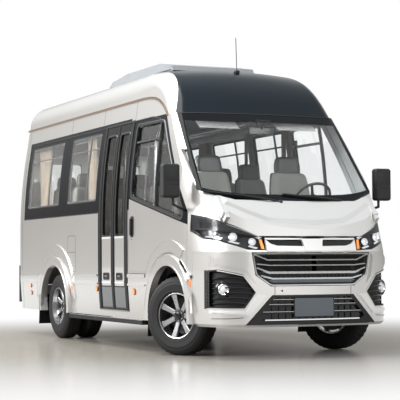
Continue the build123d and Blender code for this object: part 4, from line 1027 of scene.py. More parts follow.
def add_seams(side, place):
    """Panel joints, with the service flap on the right side."""
    seams = Piece(f"panel_seams_{side}", "body", "black_plastic", 35, place)
    lines = [[(x, 2.4), (x, 2.6)] for x in (-1.19, -0.08, 0.9)]
    lines.append([(-2.86, 0.33), (-2.86, 1.2), (-2.86, 2.0), (-2.86, 2.6)])
    if side == "right":
        flap = rounded(rect(-1.05, 0.8, -0.77, 1.215), 0.03)
        lines += [flap + flap[:1], [(-1.05, 1.025), (-0.77, 1.025)]]
    for path in lines:
        seams.strip("rubber", path, 0.0045, -0.0006, 0.003)
    seams.done()


def add_gutter(side, place):
    """Moulding that runs along the roof and down the pillar."""
    gutter = Piece(f"gutter_{side}", "body", "black_plastic", 40, place)
    gutter.strip("trim_bronze", GUTTER, 0.02, -0.01, 0.004)
    gutter.strip("rubber", [(u, v + 0.011) for u, v in GUTTER], 0.007, -0.006, 0.004)
    gutter.done()


def add_frames(side, place):
    """Window frames and sliding bars behind the flush glass."""
    frames = Piece(f"window_frames_{side}", "body", "black_plastic", 35, place)
    for low, high in PANES[side]:
        ring = rounded(rect(low + 0.008, 1.592, high - 0.008, 2.343), 0.045)
        middle = low + (high - low) * 0.64
        frames.plate("chrome_dark", grown(ring, 0.006), -0.0018, 0.001, 0.2, [ring])
        frames.plate("rubber", ring, 0.009, 0.02, 0.2, [grown(ring, -0.02)])
        frames.strip("plastic", [(middle, z) for z in (1.6, 1.85, 2.1, 2.335)], 0.022, 0.01, 0.026)
        frames.strip("plastic", [(low + 0.02, 2.18), (high - 0.02, 2.18)], 0.016, 0.01, 0.026)
    band_front = 0.062 if side == "right" else 0.93
    frames.strip("chrome_dark", [(-2.79, 1.452), (band_front, 1.452)], 0.008, -0.003, 0.006)
    top = [(x, 2.392) for x in steps(-2.79, 0.38, 12)] + [(1.46, 2.386), (1.6, 2.362), (1.7, 2.322)]
    frames.strip("rubber", top, 0.012, -0.004, 0.004)
    frames.done()


def add_markers(side, sign, place):
    """Amber side markers, the front one on the nose's flank."""
    def on_flank(x, z, d=0.0):
        return Vector((x, sign * (0.992 - d - (x - 2.36) ** 2 / 3.0), z))

    markers = Piece(f"side_markers_{side}", "body", "lamp", 35, place)
    for x, z, w, h in (*MARKERS, (MARKER_X[side], 0.615, 0.055, 0.05), (1.08, 0.6, 0.06, 0.055)):
        ring = rounded(rect(x - w / 2, z - h / 2, x + w / 2, z + h / 2), 0.018)
        markers.plate("rubber", grown(ring, 0.005), -0.004, 0.002, 0.2)
        markers.plate("amber", ring, -0.013, 0.0, 0.2)
    markers.plate("rubber", rounded(rect(2.462, 0.652, 2.545, 0.752), 0.01), -0.004, 0.004, place=on_flank)
    markers.plate("amber", rounded(rect(2.47, 0.66, 2.537, 0.744), 0.01), -0.012, 0.004, place=on_flank)
    markers.done()


def add_board(side, sign):
    """Bright tube and treads of the side step."""
    board = Piece(f"side_board_{side}", "body", "black_plastic", 40)
    board.tube("chrome", [(x, sign * 1.008, 0.306) for x in steps(-0.93, 0.229, 11)], 0.011, 12)
    for x in steps(-0.88, 0.095, 24):
        board.box("rubber", (x, sign * 0.985, 0.3125), (0.03, 0.05, 0.004), 0.0015)
    board.done()


def add_flaps(side, sign):
    """Rubber flaps behind the wheels, hung from a bar."""
    flaps = Piece(f"mud_flaps_{side}", "body", "black_plastic", 40)
    rows = ((0.5, 0), (0.4, 0.004), (0.3, 0.012), (0.2, 0.022), (0.155, 0.028))
    for x, y_mid, width in ((-2.045, 0.83, 0.4), (1.435, 0.86, 0.24)):
        bm = bmesh.new()
        cloth_grid(bm, [[(x - drift, sign * (y_mid + width * (k / 6 - 0.5)), z) for k in range(7)]
                        for z, drift in rows])
        bmesh.ops.solidify(bm, geom=list(bm.faces), thickness=0.006)
        flaps.take(bm, "rubber")
        flaps.box("plastic", (x + 0.003, sign * y_mid, 0.5), (0.016, width, 0.03), 0.004)
    flaps.done()


for side, sign in SIDES.items():
    place = on_side(sign)
    add_belt(side, sign, place)
    add_seams(side, place)
    add_gutter(side, place)
    add_frames(side, place)
    add_markers(side, sign, place)
    add_board(side, sign)
    add_flaps(side, sign)

# ------------------------------------------------------------ entrance leaves
LEAVES = {"rear": (0.072, 0.464), "front": (0.47, 0.862)}
ENTRANCE_LOW, ENTRANCE_HIGH = 0.04, 0.895
place = on_side(-1)
for name, (low, high) in LEAVES.items():
    leaf = Piece(f"entrance_trim_{name}", f"entrance_{name}_body", "silver_paint", 35, place)
    panel_low, panel_high = low + 0.058, high - 0.058
    leaf.plate("roof", rounded(rect(panel_low, 0.655, panel_high, 1.178), 0.012), -0.004, 0.004, 0.2)
    for z, width in ((1.172, 0.022), (0.69, 0.014)):
        leaf.strip("bright", [(panel_low, z), (panel_high, z)], width, -0.0065, 0.0)
    foot = rounded(rect(low + 0.045, 0.425, high - 0.045, 0.64), 0.012)
    leaf.plate("grey_dark", foot, -0.003, 0.004, 0.2)
    # pull cup
    middle = (low + high) / 2
    cup = rounded(rect(middle - 0.085, 0.715, middle + 0.085, 0.795), 0.018)
    leaf.plate("black", cup, -0.01, 0.0, 0.2, [grown(cup, -0.016)])
    leaf.plate("rubber", grown(cup, -0.014), -0.005, 0.0, 0.2)
    leaf.strip("chrome_dark", [(middle - 0.045, 0.757), (middle + 0.045, 0.757)], 0.016, -0.011, -0.003)
    pane = rounded(rect(low + 0.07, 1.2, high - 0.07, 2.275), 0.03)
    leaf.plate("rubber", grown(pane, 0.016), -0.003, 0.01, 0.2, [pane])
    leaf.plate("chrome_dark", grown(pane, 0.02), -0.0045, 0.002, 0.2, [grown(pane, 0.015)])
    for x in (low + 0.008, high - 0.008):
        edge = [(x, z) for z in (0.412, 0.7, 1.3, 1.8, 2.25, 2.375)]
        leaf.strip("rubber", edge, 0.014, -0.005, 0.02)
    # hinges on the outer edge and a grab bar on the inner one
    hinge_x, bar_x = (low + 0.02, high - 0.03) if name == "rear" else (high - 0.02, low + 0.03)
    for z in (0.52, 1.24, 2.2):
        leaf.box("alloy", place(hinge_x, z, 0.058), (0.05, 0.02, 0.12), 0.006)
    bar = ((1.0, 1.0, 0.042), (1.03, 1.0, 0.075), (1.3, 1.3, 0.075), (1.57, 1.57, 0.075), (1.6, 1.6, 0.042))
    leaf.tube("chrome", [(bar_x, inset - side_y(skin_z), z) for z, skin_z, inset in bar], 0.012, 10)
    leaf.done()

surround = Piece("entrance_surround", "body", "black_plastic", 35, place)
for x in (0.052, 0.882):
    surround.strip("rubber", [(x, z) for z in (0.395, 0.7, 1.3, 1.8, 2.25, 2.388)], 0.026, -0.006, 0.01)
surround.strip("rubber", [(ENTRANCE_LOW, 2.396), (ENTRANCE_HIGH, 2.396)], 0.02, -0.006, 0.01)
surround.strip("chrome_dark", [(ENTRANCE_LOW, 0.392), (ENTRANCE_HIGH, 0.392)], 0.012, -0.008, 0.01)
ribs = 8
for z, y_out, depth in ((0.404, 0.905, 0.36), (0.659, 0.735, 0.19)):
    for k in range(ribs):
        y = depth * (k + 0.5) / ribs - y_out
        surround.box("rubber", (0.467, y, z), (0.76, depth / 2 / ribs, 0.004), 0.0015)
surround.box("amber", (0.467, -0.742, 0.648), (0.74, 0.012, 0.012), 0.003)
surround.done()

# ------------------------------------------------------------------ cab doors
WINDOW = rounded([(0.995, 1.598), (2.335, 1.33), (2.345, 1.4), (1.712, 2.32), (1.01, 2.33)], 0.045)
DOOR_CARD = [(0.965, 0.965), (1.45, 0.965), (1.6, 1.08), (2.02, 1.1), (2.24, 1.05), (2.3, 1.3),
             (1.0, 1.555)]
MOULDING = [(0.945 + (1.56 - 0.945) * k / 6, 0.822) for k in range(7)]
BESIDE_ARCH = (AXLE_FRONT, AXLE_Z)


def on_door(sign):
    """Door surface: the flat side, drawn in by the nose's flank."""
    def place(x, z, d=0.0):
        y = side_y(z) - d
        run = x - (FLANK_CX - NOSE_SLOPE * max(0.0, z - NOSE_BREAK_Z))
        if run > 0:
            y = min(y, FLANK_CY + circle(FLANK_R - d, run))
        return Vector((x, sign * y, z))
    return place


for side, sign in SIDES.items():
    body = f"front_door_{side}_body"
    skin = on_door(sign)
    door = Piece(f"cab_door_trim_{side}", body, "black_plastic", 35, skin)
    door.plate("rubber", grown(WINDOW, 0.018), -0.003, 0.012, 0.08, [grown(WINDOW, -0.004)])
    door.plate("chrome_dark", grown(WINDOW, 0.024), -0.005, 0.004, 0.08, [grown(WINDOW, 0.017)])
    for path, width in (([(1.64, 1.47), (1.64, 1.8), (1.64, 2.1), (1.64, 2.318)], 0.03),
                        ([(1.01, 2.155), (1.3, 2.155), (1.64, 2.155)], 0.024)):
        door.strip("plastic", path, width, 0.006, 0.036)
        door.strip("chrome_dark", path, width * 0.35, 0.003, 0.01)
    handle = rounded([(0.985, 1.165), (1.075, 1.165), (1.085, 1.385), (0.995, 1.385)], 0.03)
    door.plate("plastic", handle, -0.004, 0.002, 0.1)
    grip = rounded([(1.01, 1.185), (1.05, 1.185), (1.058, 1.365), (1.018, 1.365)], 0.018)
    door.plate("black", grip, -0.022, -0.003, 0.06)
    lock = Matrix.Translation(skin(1.032, 1.145, -0.001)) @ spin(-90 * sign, "X")
    door.knob("chrome_dark", [(0.0, 0.006), (0.008, 0.005), (0.01, 0.0), (0.0, 0.0)], lock, 20)
    door.strip("silver", MOULDING, 0.018, -0.006, 0.003)
    swell = arc(BESIDE_ARCH, SWELL_R, 60, 146, 18) + arc(BESIDE_ARCH, 0.63, 142, 62, 18)
    door.plate("roof", swell, -0.009, 0.003, 0.05)
    door.strip("silver", arc(BESIDE_ARCH, SWELL_R, 60, 146, 24), 0.011, -0.0115, 0.0)
    # inner door card with its cloth and arm rest
    door.plate("plastic_grey", DOOR_CARD, 0.044, 0.056, 0.12)
    door.plate("seat_cloth", [(1.1, 1.18), (2.15, 1.16), (2.18, 1.29), (1.1, 1.46)], 0.054, 0.064, 0.12)
    door.box("plastic", skin(1.6, 1.12, 0.088), (0.55, 0.06, 0.035), 0.012)
    door.done()

    # two glasses behind the mirror, a groove and a raised panel on its front
    mirror = Piece(f"mirror_detail_{side}", body, "black_plastic", 40)
    centre = Vector((2.447, sign * 1.163, 1.676))
    for key, offset, size, bevel in (
            ("mirror", (-0.0495, 0, 0.055), (0.006, 0.148, 0.185), 0.003),
            ("mirror", (-0.0495, 0, -0.1), (0.006, 0.148, 0.085), 0.003),
            ("black", (0.049, 0, -0.035), (0.007, 0.15, 0.006), 0.002),
            ("plastic", (0.05, 0, 0.06), (0.006, 0.13, 0.13), 0.003)):
        mirror.box(key, centre + Vector(offset), size, bevel)
    mirror.done()

# ------------------------------------------------------- windscreen and cowl
GLASS_TOP_Z, GLASS_MID_Z, GLASS_KNEE_Z, GLASS_END_Z = 2.386, 1.468, 1.48, 1.59
KNEE_Y, KNEE_RUN = 0.64, 0.298


def glass_low(y):
    """Height of the screen's lower edge: nearly level, then rising to the pillars."""
    a = abs(y)
    if a < KNEE_Y:
        return GLASS_MID_Z + (GLASS_KNEE_Z - GLASS_MID_Z) * a / KNEE_Y
    return GLASS_KNEE_Z + (GLASS_END_Z - GLASS_KNEE_Z) * min(1.0, (a - KNEE_Y) / KNEE_RUN)


def across(half, count):
    """Y values from side to side."""
    return [half * (2 * k / count - 1) for k in range(count + 1)]


screen = Piece("screen_trim", "body", "black_plastic", 40, on_screen)
screen.strip("plastic", [(y, GLASS_TOP_Z) for y in across(0.86, 24)], 0.008, -0.004, 0.006)
for sign in (-1, 1):
    pillar = [(0.868 + 0.07 * t / 8, 2.388 - (2.388 - 1.592) * t / 8) for t in range(9)]
    screen.strip("rubber", mirrored(pillar, sign), 0.012, -0.003, 0.01)
screen.strip("rubber", [(y, glass_low(y)) for y in across(0.93, 40)], 0.012, -0.003, 0.01)
# cowl that closes the bonnet's rear edge to the foot of the glass
bm = bmesh.new()
rows = []
for y in across(0.8, 60):
    z = glass_low(y) - 0.01
    front_x = bonnet_x(z)
    rear_x = max(screen_x(y, z - 0.008, 0.012), front_x - 0.3)
    section = ((front_x - 0.004, z - 0.004), (rear_x, z - 0.006), (rear_x, z - 0.04),
               (front_x - 0.03, z - 0.04))
    rows.append([bm.verts.new((x, y, height)) for x, height in section])
bridge(bm, rows, caps=True)
screen.take(bm, "plastic")
# mirror inside the screen on its stalk
screen.box("black", (2.07, -0.005, 2.215), (0.03, 0.29, 0.085), 0.014, segments=4)
screen.box("mirror", (2.0555, -0.005, 2.215), (0.004, 0.262, 0.064), 0.0015)
screen.tube("plastic", [(2.085, -0.005, 2.235), (2.11, -0.005, 2.275), (2.125, -0.005, 2.29)], 0.01)
screen.box("plastic", (2.118, -0.005, 2.3), (0.03, 0.16, 0.05), 0.01)
screen.done()

# wipers: blade with its rubber, arm and pivot cap
wipers = Piece("wiper_set", "body", "black_plastic", 40)
for tip, foot in (((-0.905, 1.57), (-0.235, 1.482)), ((-0.12, 1.548), (0.52, 1.486))):
    run = Vector(foot) - Vector(tip)
    blade = [on_screen(*(Vector(tip) + run * k / 10), -0.012) for k in range(9)]
    wipers.tube("rubber", blade, 0.0055, 8)
    wipers.tube("plastic", [p + Vector((0.008, 0, 0.006)) for p in blade], 0.006, 8)
    pivot = on_screen(foot[0] + 0.06, foot[1] - 0.014, -0.01)
    arm = [pivot, on_screen(foot[0] - 0.05, foot[1] + 0.012, -0.034),
           blade[5] + Vector((0.022, 0, 0.012)), blade[4] + Vector((0.012, 0, 0.008))]
    wipers.tube("plastic", arm, lambda t: 0.0105 - 0.005 * t, 10)
    wipers.knob("black", [(0.0, 0.022), (0.016, 0.02), (0.022, 0.01), (0.024, -0.012), (0.0, -0.012)],
                Matrix.Translation(pivot) @ spin(40, "Y"), 20)
wipers.done("wipers")

# ------------------------------------------------------------------- rear end
BUMPER_REAR_X = -3.1485
TAIL_CELLS = ((0.915, 1.045, "amber"), (1.055, 1.16, "white_lens"), (1.17, 1.455, "red"))
HIGH_STOP = rounded(rect(-0.24, 2.395, 0.24, 2.425), 0.01)
REAR_OPENING = rounded(rect(-0.812, 0.608, 0.812, 2.342), 0.06)


def on_rear_bumper(y, z, d=0.0):
    return Vector((BUMPER_REAR_X + d, y, z))


def sided(u0, v0, u1, v1, sign, radius):
    """Rounded rectangle, mirrored to one side."""
    return rounded(mirrored(rect(u0, v0, u1, v1), sign), radius)


rear = Piece("rear_trim", "body", "black_plastic", 35, on_rear)
for sign in (-1, 1):
    tail = sided(0.858, 0.905, 0.95, 1.468, sign, 0.02)
    rear.plate("rubber", grown(tail, 0.007), -0.003, 0.01, 0.3, [tail])
    for low, high, key in TAIL_CELLS:
        rear.plate(key, sided(0.868, low, 0.94, high, sign, 0.012), -0.01, 0.004, 0.3)
    rear.plate("red", sided(0.66, 0.53, 0.84, 0.575, sign, 0.01), -0.001, 0.01, 0.3, place=on_rear_bumper)
rear.plate("rubber", grown(HIGH_STOP, 0.008), -0.006, 0.006, 0.3)
rear.plate("red", HIGH_STOP, -0.011, 0.0, 0.3)
rear.plate("rubber", grown(REAR_OPENING, 0.004), -0.0015, 0.004, 0.3, [grown(REAR_OPENING, -0.008)])
for y in steps(-0.75, 0.1154, 14):
    rear.box("rubber", (-3.105, y, 0.8715), (0.06, 0.035, 0.004), 0.0015)
rear.tube("chrome", [(-3.148, -0.6, 0.47), (-3.15, -0.3, 0.47), (-3.15, 0.3, 0.47), (-3.148, 0.6, 0.47)],
          0.0015, 8)
rear.done()

for side, sign in SIDES.items():
    door = Piece(f"rear_door_trim_{side}", f"rear_door_{side}_body", "black_plastic", 35, on_rear)
    window = sided(0.13, 1.56, 0.69, 2.2, sign, 0.05)
    door.plate("rubber", grown(window, 0.02), -0.006, 0.01, 0.3, [grown(window, -0.006)])
    door.plate("chrome_dark", grown(window, 0.025), -0.004, 0.0, 0.3, [grown(window, 0.019)])
    rib = sided(0.1, 0.86, 0.7, 1.44, sign, 0.06)
    door.plate("silver", rib, -0.01, 0.002, 0.3, [grown(rib, -0.022)])
    for z in (0.98, 1.5, 2.22):
        door.knob("plastic", [(0.0, 0.045), (0.0035, 0.043), (0.0035, -0.043), (0.0, -0.045)],
                  Matrix.Translation((REAR_X, sign * 0.8, z)), 16)
        door.box("silver", on_rear(sign * 0.745, z, -0.006), (0.008, 0.075, 0.062), 0.003)
    if side == "right":
        door.box("black", on_rear(sign * 0.075, 1.18, -0.012), (0.024, 0.06, 0.23), 0.01)
        door.box("chrome_dark", on_rear(sign * 0.075, 1.18, -0.026), (0.01, 0.03, 0.19), 0.004)
    else:
        blank = rounded(rect(0.17, 0.98, 0.63, 1.1), 0.008)
        door.plate("rubber", grown(blank, 0.01), -0.006, 0.0, 0.3)
        door.plate("plate", blank, -0.009, 0.0, 0.3)
        door.box("plastic", on_rear(0.4, 1.135, -0.016), (0.03, 0.34, 0.03), 0.01)
        door.box("led", on_rear(0.4, 1.118, -0.018), (0.018, 0.1, 0.004), 0.001)
    for z in (0.66, 2.29):
        door.box("chrome_dark", on_rear(sign * 0.035, z, -0.006), (0.012, 0.03, 0.055), 0.004)
    door.strip("rubber", [(sign * 0.006, z) for z in steps(0.63, 0.28, 7)], 0.012, -0.002, 0.02)
    door.box("plastic_grey", (-2.975, sign * 0.4, 1.19), (0.012, 0.66, 0.56), 0.006)
    door.done()

# ----------------------------------------------------------------------- roof
roof = Piece("roof_details", "body", "grey_plastic", 40)
for x in steps(-0.78, 0.135, 9):
    roof.box("rubber", (x, 0.0, 3.068), (0.045, 0.62, 0.018), 0.006)
for x in (-0.55, 0.3):
    roof.knob("plastic", [(0.0, 0.01), (0.05, 0.01), (0.15, 0.006), (0.165, -0.012), (0.0, -0.012)],
              Matrix.Translation((x, 0.0, 3.078)), 36)
    for k in range(4):
        r = 0.04 + 0.03 * k
        guard = [(x + r * math.cos(t), r * math.sin(t), 3.0885 - 0.001 * k) for t in turns(28)]
        roof.tube("rubber", guard, 0.0022, 6, closed=True)
for sign in (-1, 1):
    rail = [(x, sign * y, z) for x, y, z in ((-1.1, 0.478, 2.968), (-0.3, 0.481, 2.972), (0.5, 0.481, 2.972),
                                             (0.86, 0.478, 2.968))]
    roof.tube("plastic", rail, 0.006, 8)
    for x in steps(-0.95, 0.34, 6):
        roof.knob("chrome_dark", [(0.0, 0.004), (0.007, 0.0035), (0.008, 0.0), (0.0, 0.0)],
                  Matrix.Translation((x, sign * 0.482, 2.955)) @ spin(-90 * sign, "X"), 12)
roof.knob("rubber", [(0.0, 0.01), (0.018, 0.009), (0.03, 0.002), (0.033, -0.012), (0.0, -0.012)],
          Matrix.Translation((1.5, 0.0, 2.893)), 24)
roof.done()

# ---------------------------------------------------------------------- seats
FLOOR_Z = 0.93
ROWS_RIGHT = [(x, -0.58) for x in steps(-0.82, -0.75, 3)]
ROWS_LEFT = [(x, y) for x in steps(0.56, -0.72, 5) for y in (0.135, 0.58)]
SEAT_GROUPS = (("front_seat", "front_seats", [(1.735, -0.45), (1.735, 0.45)], 0.5, True),
               ("seat_row_right", "seats_right", ROWS_RIGHT, 0.43, False),
               ("seat_row_left", "seats_left", ROWS_LEFT, 0.43, False))
SEAT_HANDLE = ((0.02, -0.13, 0.86), (0.0, -0.13, 0.9), (-0.004, 0, 0.905), (0.0, 0.13, 0.9),
               (0.02, 0.13, 0.86))


def pad(matrix, width, length, thick, bolster, crown=0.0, seams=0, taper=0.0):
    """Stuffed slab: X across, Y along, Z its thickness; its front has bolsters and sewn channels."""
    corner = 0.28 if length < 0.3 else 0.2
    channel = 0.006
    spread = [-1 + 2 * k / 12 for k in range(13)]
    bm = bmesh.new()
    front, rear = [], []
    for v in spread:
        front.append([])
        rear.append([])
        for u in spread:
            edge = math.sqrt((1 - u**6) * (1 - v**6))
            swell = max(0.0, min(1.0, (abs(u) - 0.45) / 0.35))
            z = edge * (thick / 2 + bolster * swell - crown * (1 - u * u) * 0.3)
            if seams and abs(u) < 0.5:
                z -= channel * (0.5 + 0.5 * math.cos(math.pi * seams * (v + 1) * 2)) ** 6
            x = u * width / 2 * (1 - taper * (v + 1) / 2) * math.sqrt(1 - corner * v * v)
            y = v * length / 2 * math.sqrt(1 - corner * u * u)
            front[-1].append(bm.verts.new(matrix @ Vector((x, y, z))))
            rear[-1].append(bm.verts.new(matrix @ Vector((x, y, -thick / 2 * edge))))
    for grid, turn in ((front, 1), (rear, -1)):
        for a, b in zip(grid, grid[1:]):
            for k in range(len(a) - 1):
                bm.faces.new((a[k], a[k + 1], b[k + 1], b[k])[::turn])
    bmesh.ops.remove_doubles(bm, verts=bm.verts, dist=1e-5)
    return bm


def leaned(x, y, z, degrees):
    """Frame whose Y runs up a back leaned from upright, Z facing +X."""
    lean = math.radians(degrees)
    up = Vector((-math.sin(lean), 0, math.cos(lean)))
    face = Vector((math.cos(lean), 0, math.sin(lean)))
    return Matrix.Translation((x, y, z)) @ Matrix((up.cross(face), up, face)).transposed().to_4x4()


def add_cushions(soft, x, y, wide, side_key):
    """Back, its side pads, headrest and base of one seat."""
    z = FLOOR_Z
    lying = Matrix.Translation((x + 0.305, y, z + 0.375)) @ spin(-4, "Y") @ spin(-90, "Z")
    back, sides = leaned(x + 0.085, y, z + 0.64, 10), leaned(x + 0.062, y, z + 0.635, 10)
    head = leaned(x + 0.01, y, z + 0.955, 6)
    soft.take(pad(back, wide, 0.56, 0.105, 0.034, 0.02, 3, 0.12), "seat_cloth")
    soft.take(pad(sides, wide + 0.024, 0.585, 0.085, 0.0, taper=0.12), side_key)
    soft.take(pad(head, wide * 0.66, 0.23, 0.105, 0.006, taper=0.1), "leather")
    soft.take(pad(lying, wide, 0.46, 0.125, 0.026, 0.02, 2), "seat_cloth")


def add_seat_frame(hard, x, y, wide, front):
    """Headrest rods, shell, legs, recliner, grab handle and buckles of one seat."""
    z = FLOOR_Z
    for dy in (-0.05, 0.05):
        hard.tube("chrome", [(x + 0.035, y + dy, z + 0.8), (x + 0.012, y + dy, z + 0.93)], 0.006, 8)
    hard.box("plastic", (x + 0.3, y, z + 0.295), (0.4, wide * 0.88, 0.045), 0.015)
    for dy in (-wide * 0.3, wide * 0.3):
        hard.box("plastic", (x + 0.3, y + dy, z + 0.15), (0.3, 0.035, 0.27), 0.012)
        hard.box("steel", (x + 0.3, y + dy, z + 0.012), (0.4, 0.045, 0.02), 0.005)
    hard.box("plastic", (x + 0.105, y + wide * 0.5 - 0.005, z + 0.4), (0.1, 0.03, 0.1), 0.012)
    if not front:
        hard.tube("plastic", [(x + dx, y + dy, z + dz) for dx, dy, dz in SEAT_HANDLE], 0.011, 8)
    for dy in (-wide / 4, wide / 4):
        hard.box("red" if front else "plastic", (x + 0.17, y + dy, z + 0.435), (0.02, 0.024, 0.03), 0.005)


for name, node, spots, wide, front in SEAT_GROUPS:
    soft = Piece(f"{name}_cushions", "body", "seat_fabric", 60)
    hard = Piece(f"{name}_frames", "body", "black_plastic", 40)
    for x, y in spots:
        add_cushions(soft, x, y, wide, "leather" if front else "seat_side")
        add_seat_frame(hard, x, y, wide, front)
    cushions = soft.done(node)
    smooth = cushions.modifiers.new("soften", "SUBSURF")
    smooth.levels, smooth.render_levels = 1, 1
    hard.done(node)

# ------------------------------------------------------------------- curtains
CURTAINS = {"right": [(-2.6, -2.15), (-0.76, -0.48)],
            "left": [(-2.6, -2.25), (-1.38, -1.11), (-0.06, 0.04), (0.88, 1.0)]}
RAIL_RUNS = {"right": [(-2.66, -1.36), (-1.42, -0.44)],
             "left": [(-2.66, -1.36), (-1.42, -0.44), (-0.12, 1.02)]}
CLOTH_LOW, CLOTH_HIGH, RAIL_Y, RAIL_Z, RING_Z = 1.505, 2.375, 0.832, 2.381, 2.3805
PLEAT, PLEAT_DEPTH, PLEAT_STEPS, CLOTH_ROWS, RING_R = 0.052, 0.013, 10, 26, 0.008
SIM_FRAMES = 24


def curtain_point(low, high, sign, index, folds, u, v):
    """Point of a pleated cloth before it hangs: u along the rail, v up."""
    wave = math.sin(2 * math.pi * folds * u + 0.5 * math.sin(3 * u + index))
    sway = 0.004 * math.sin(5 * v + index) * (1 - v)
    depth = PLEAT_DEPTH * (0.75 + 0.25 * math.sin(7 * u + 2 * index)) * (1 - 0.25 * v)
    x = low + (high - low) * (u * (0.92 + 0.08 * v) + 0.04 * (1 - v)) + sway
    return x, sign * (RAIL_Y + depth * wave), CLOTH_LOW + (CLOTH_HIGH - CLOTH_LOW) * v


def make_curtain(name, low, high, sign, index, folds):
    """One cloth with its top row held, and its flat width."""
    columns = folds * PLEAT_STEPS
    bm = bmesh.new()
    cloth_grid(bm, [[curtain_point(low, high, sign, index, folds, i / columns, j / CLOTH_ROWS)
                     for i in range(columns + 1)] for j in range(CLOTH_ROWS + 1)])
    flat_width = sum(f.calc_area() for f in bm.faces) / (CLOTH_HIGH - CLOTH_LOW)
    mesh = bpy.data.meshes.new("cloth")
    bm.to_mesh(mesh)
    bm.free()
    mesh.materials.append(M["curtain"])
    mesh.polygons.foreach_set("use_smooth", [True] * len(mesh.polygons))
    cloth = link(name, mesh)
    top_row = list(range((columns + 1) * CLOTH_ROWS, len(mesh.vertices)))
    cloth.vertex_groups.new(name="held").add(top_row, 1.0, "REPLACE")
    return cloth, flat_width


def settle(cloths):
    """Hang the cloths by a simulation and keep their settled meshes."""
    scene = bpy.context.scene
    for cloth in cloths:
        sim = cloth.modifiers.new("hang", "CLOTH")
        sim.settings.quality = 6
        sim.settings.mass = 0.25
        sim.settings.tension_stiffness = sim.settings.compression_stiffness = 25
        sim.settings.shear_stiffness = 12
        sim.settings.bending_stiffness = 0.6
        sim.settings.air_damping = 4
        sim.settings.vertex_group_mass = "held"
        sim.point_cache.frame_start, sim.point_cache.frame_end = 1, SIM_FRAMES
    for step in range(1, SIM_FRAMES + 1):
        scene.frame_set(step)
    view = bpy.context.evaluated_depsgraph_get()
    hung = [bpy.data.meshes.new_from_object(cloth.evaluated_get(view)) for cloth in cloths]
    for cloth, mesh in zip(cloths, hung):
        cloth.modifiers.clear()
        cloth.data = mesh
    scene.frame_set(1)


rails = Piece("curtain_rails", "body", "grey_plastic", 40)
curtains = []
for side, sign in SIDES.items():
    for low, high in RAIL_RUNS[side]:
        rail = [(x, sign * RAIL_Y, RAIL_Z) for x in (low, (low + high) / 2, high)]
        rails.tube("chrome_dark", rail, 0.005, 8)
    for index, (low, high) in enumerate(CURTAINS[side]):
        folds = max(3, round((high - low) / PLEAT))
        curtains.append(make_curtain(f"curtain_{side}_{index + 1}", low, high, sign, index, folds))
        for k in range(folds):
            x = low + (high - low) * (k + 0.5) / folds
            ring = [(x + RING_R * math.cos(t), sign * RAIL_Y, RING_Z + RING_R * math.sin(t))
                    for t in turns(10)]
            rails.tube("chrome_dark", ring, 0.0012, 5, closed=True)
rails.done()
settle([cloth for cloth, _ in curtains])
for cloth, width in curtains:
    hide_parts("curtains")
    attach(cloth, "body")

# ---------------------------------------------------------------------- cabin
# hood over the gauges, the gauges, centre stack and its screen
DASH_TOP = (("plastic", (2.52, 0.0, 1.478), (0.22, 1.66, 0.02), 0.008, 2),
            ("plastic", (2.46, 0.42, 1.5), (0.17, 0.36, 0.06), 0.022, 4),
            ("black", (2.378, 0.42, 1.498), (0.006, 0.3, 0.036), 0.002, 2),
            ("plastic_grey", (2.332, -0.05, 1.335), (0.02, 0.3, 0.15), 0.008, 2),
            ("black", (2.32, -0.05, 1.365), (0.006, 0.22, 0.075), 0.002, 2))
cabin = Piece("cabin_fittings", "body", "grey_plastic", 40)


def add_dash():
    """Dashboard fittings, pedals and gear lever."""
    for key, centre, size, bevel, segments in DASH_TOP:
        cabin.box(key, centre, size, bevel, segments=segments)
    for y in (-0.72, -0.42, 0.16, 0.72):
        cabin.box("black", (2.336, y, 1.375), (0.02, 0.15, 0.05), 0.006)
        for z in steps(1.359, 0.0105, 4):
            cabin.box("plastic", (2.324, y, z), (0.008, 0.135, 0.003), 0.001)
    cabin.box("plastic_grey", (2.322, -0.56, 1.285), (0.012, 0.4, 0.09), 0.005)
    for y in steps(-0.13, 0.08, 3):
        cabin.knob("plastic", [(0.0, 0.018), (0.015, 0.016), (0.018, 0.0), (0.0, 0.0)],
                   Matrix.Translation((2.318, y, 1.285)) @ spin(-90, "Y"), 20)
    for y, z in ((0.3, 1.08), (0.4, 1.1), (0.5, 1.12)):
        cabin.box("rubber", (2.36, y, z), (0.016, 0.06, 0.08), 0.006, spin(30, "Y"))
        cabin.tube("steel", [(2.37, y, z + 0.01), (2.42, y, z + 0.12), (2.44, y, 1.24)], 0.006, 8)
    cabin.tube("plastic", [(2.05, 0.02, 0.955), (2.07, 0.02, 1.15), (2.1, 0.02, 1.22)], 0.012, 10)
    cabin.knob("leather", [(0.0, 0.03), (0.018, 0.024), (0.024, 0.0), (0.016, -0.022), (0.0, -0.026)],
               Matrix.Translation((2.103, 0.02, 1.235)), 20)


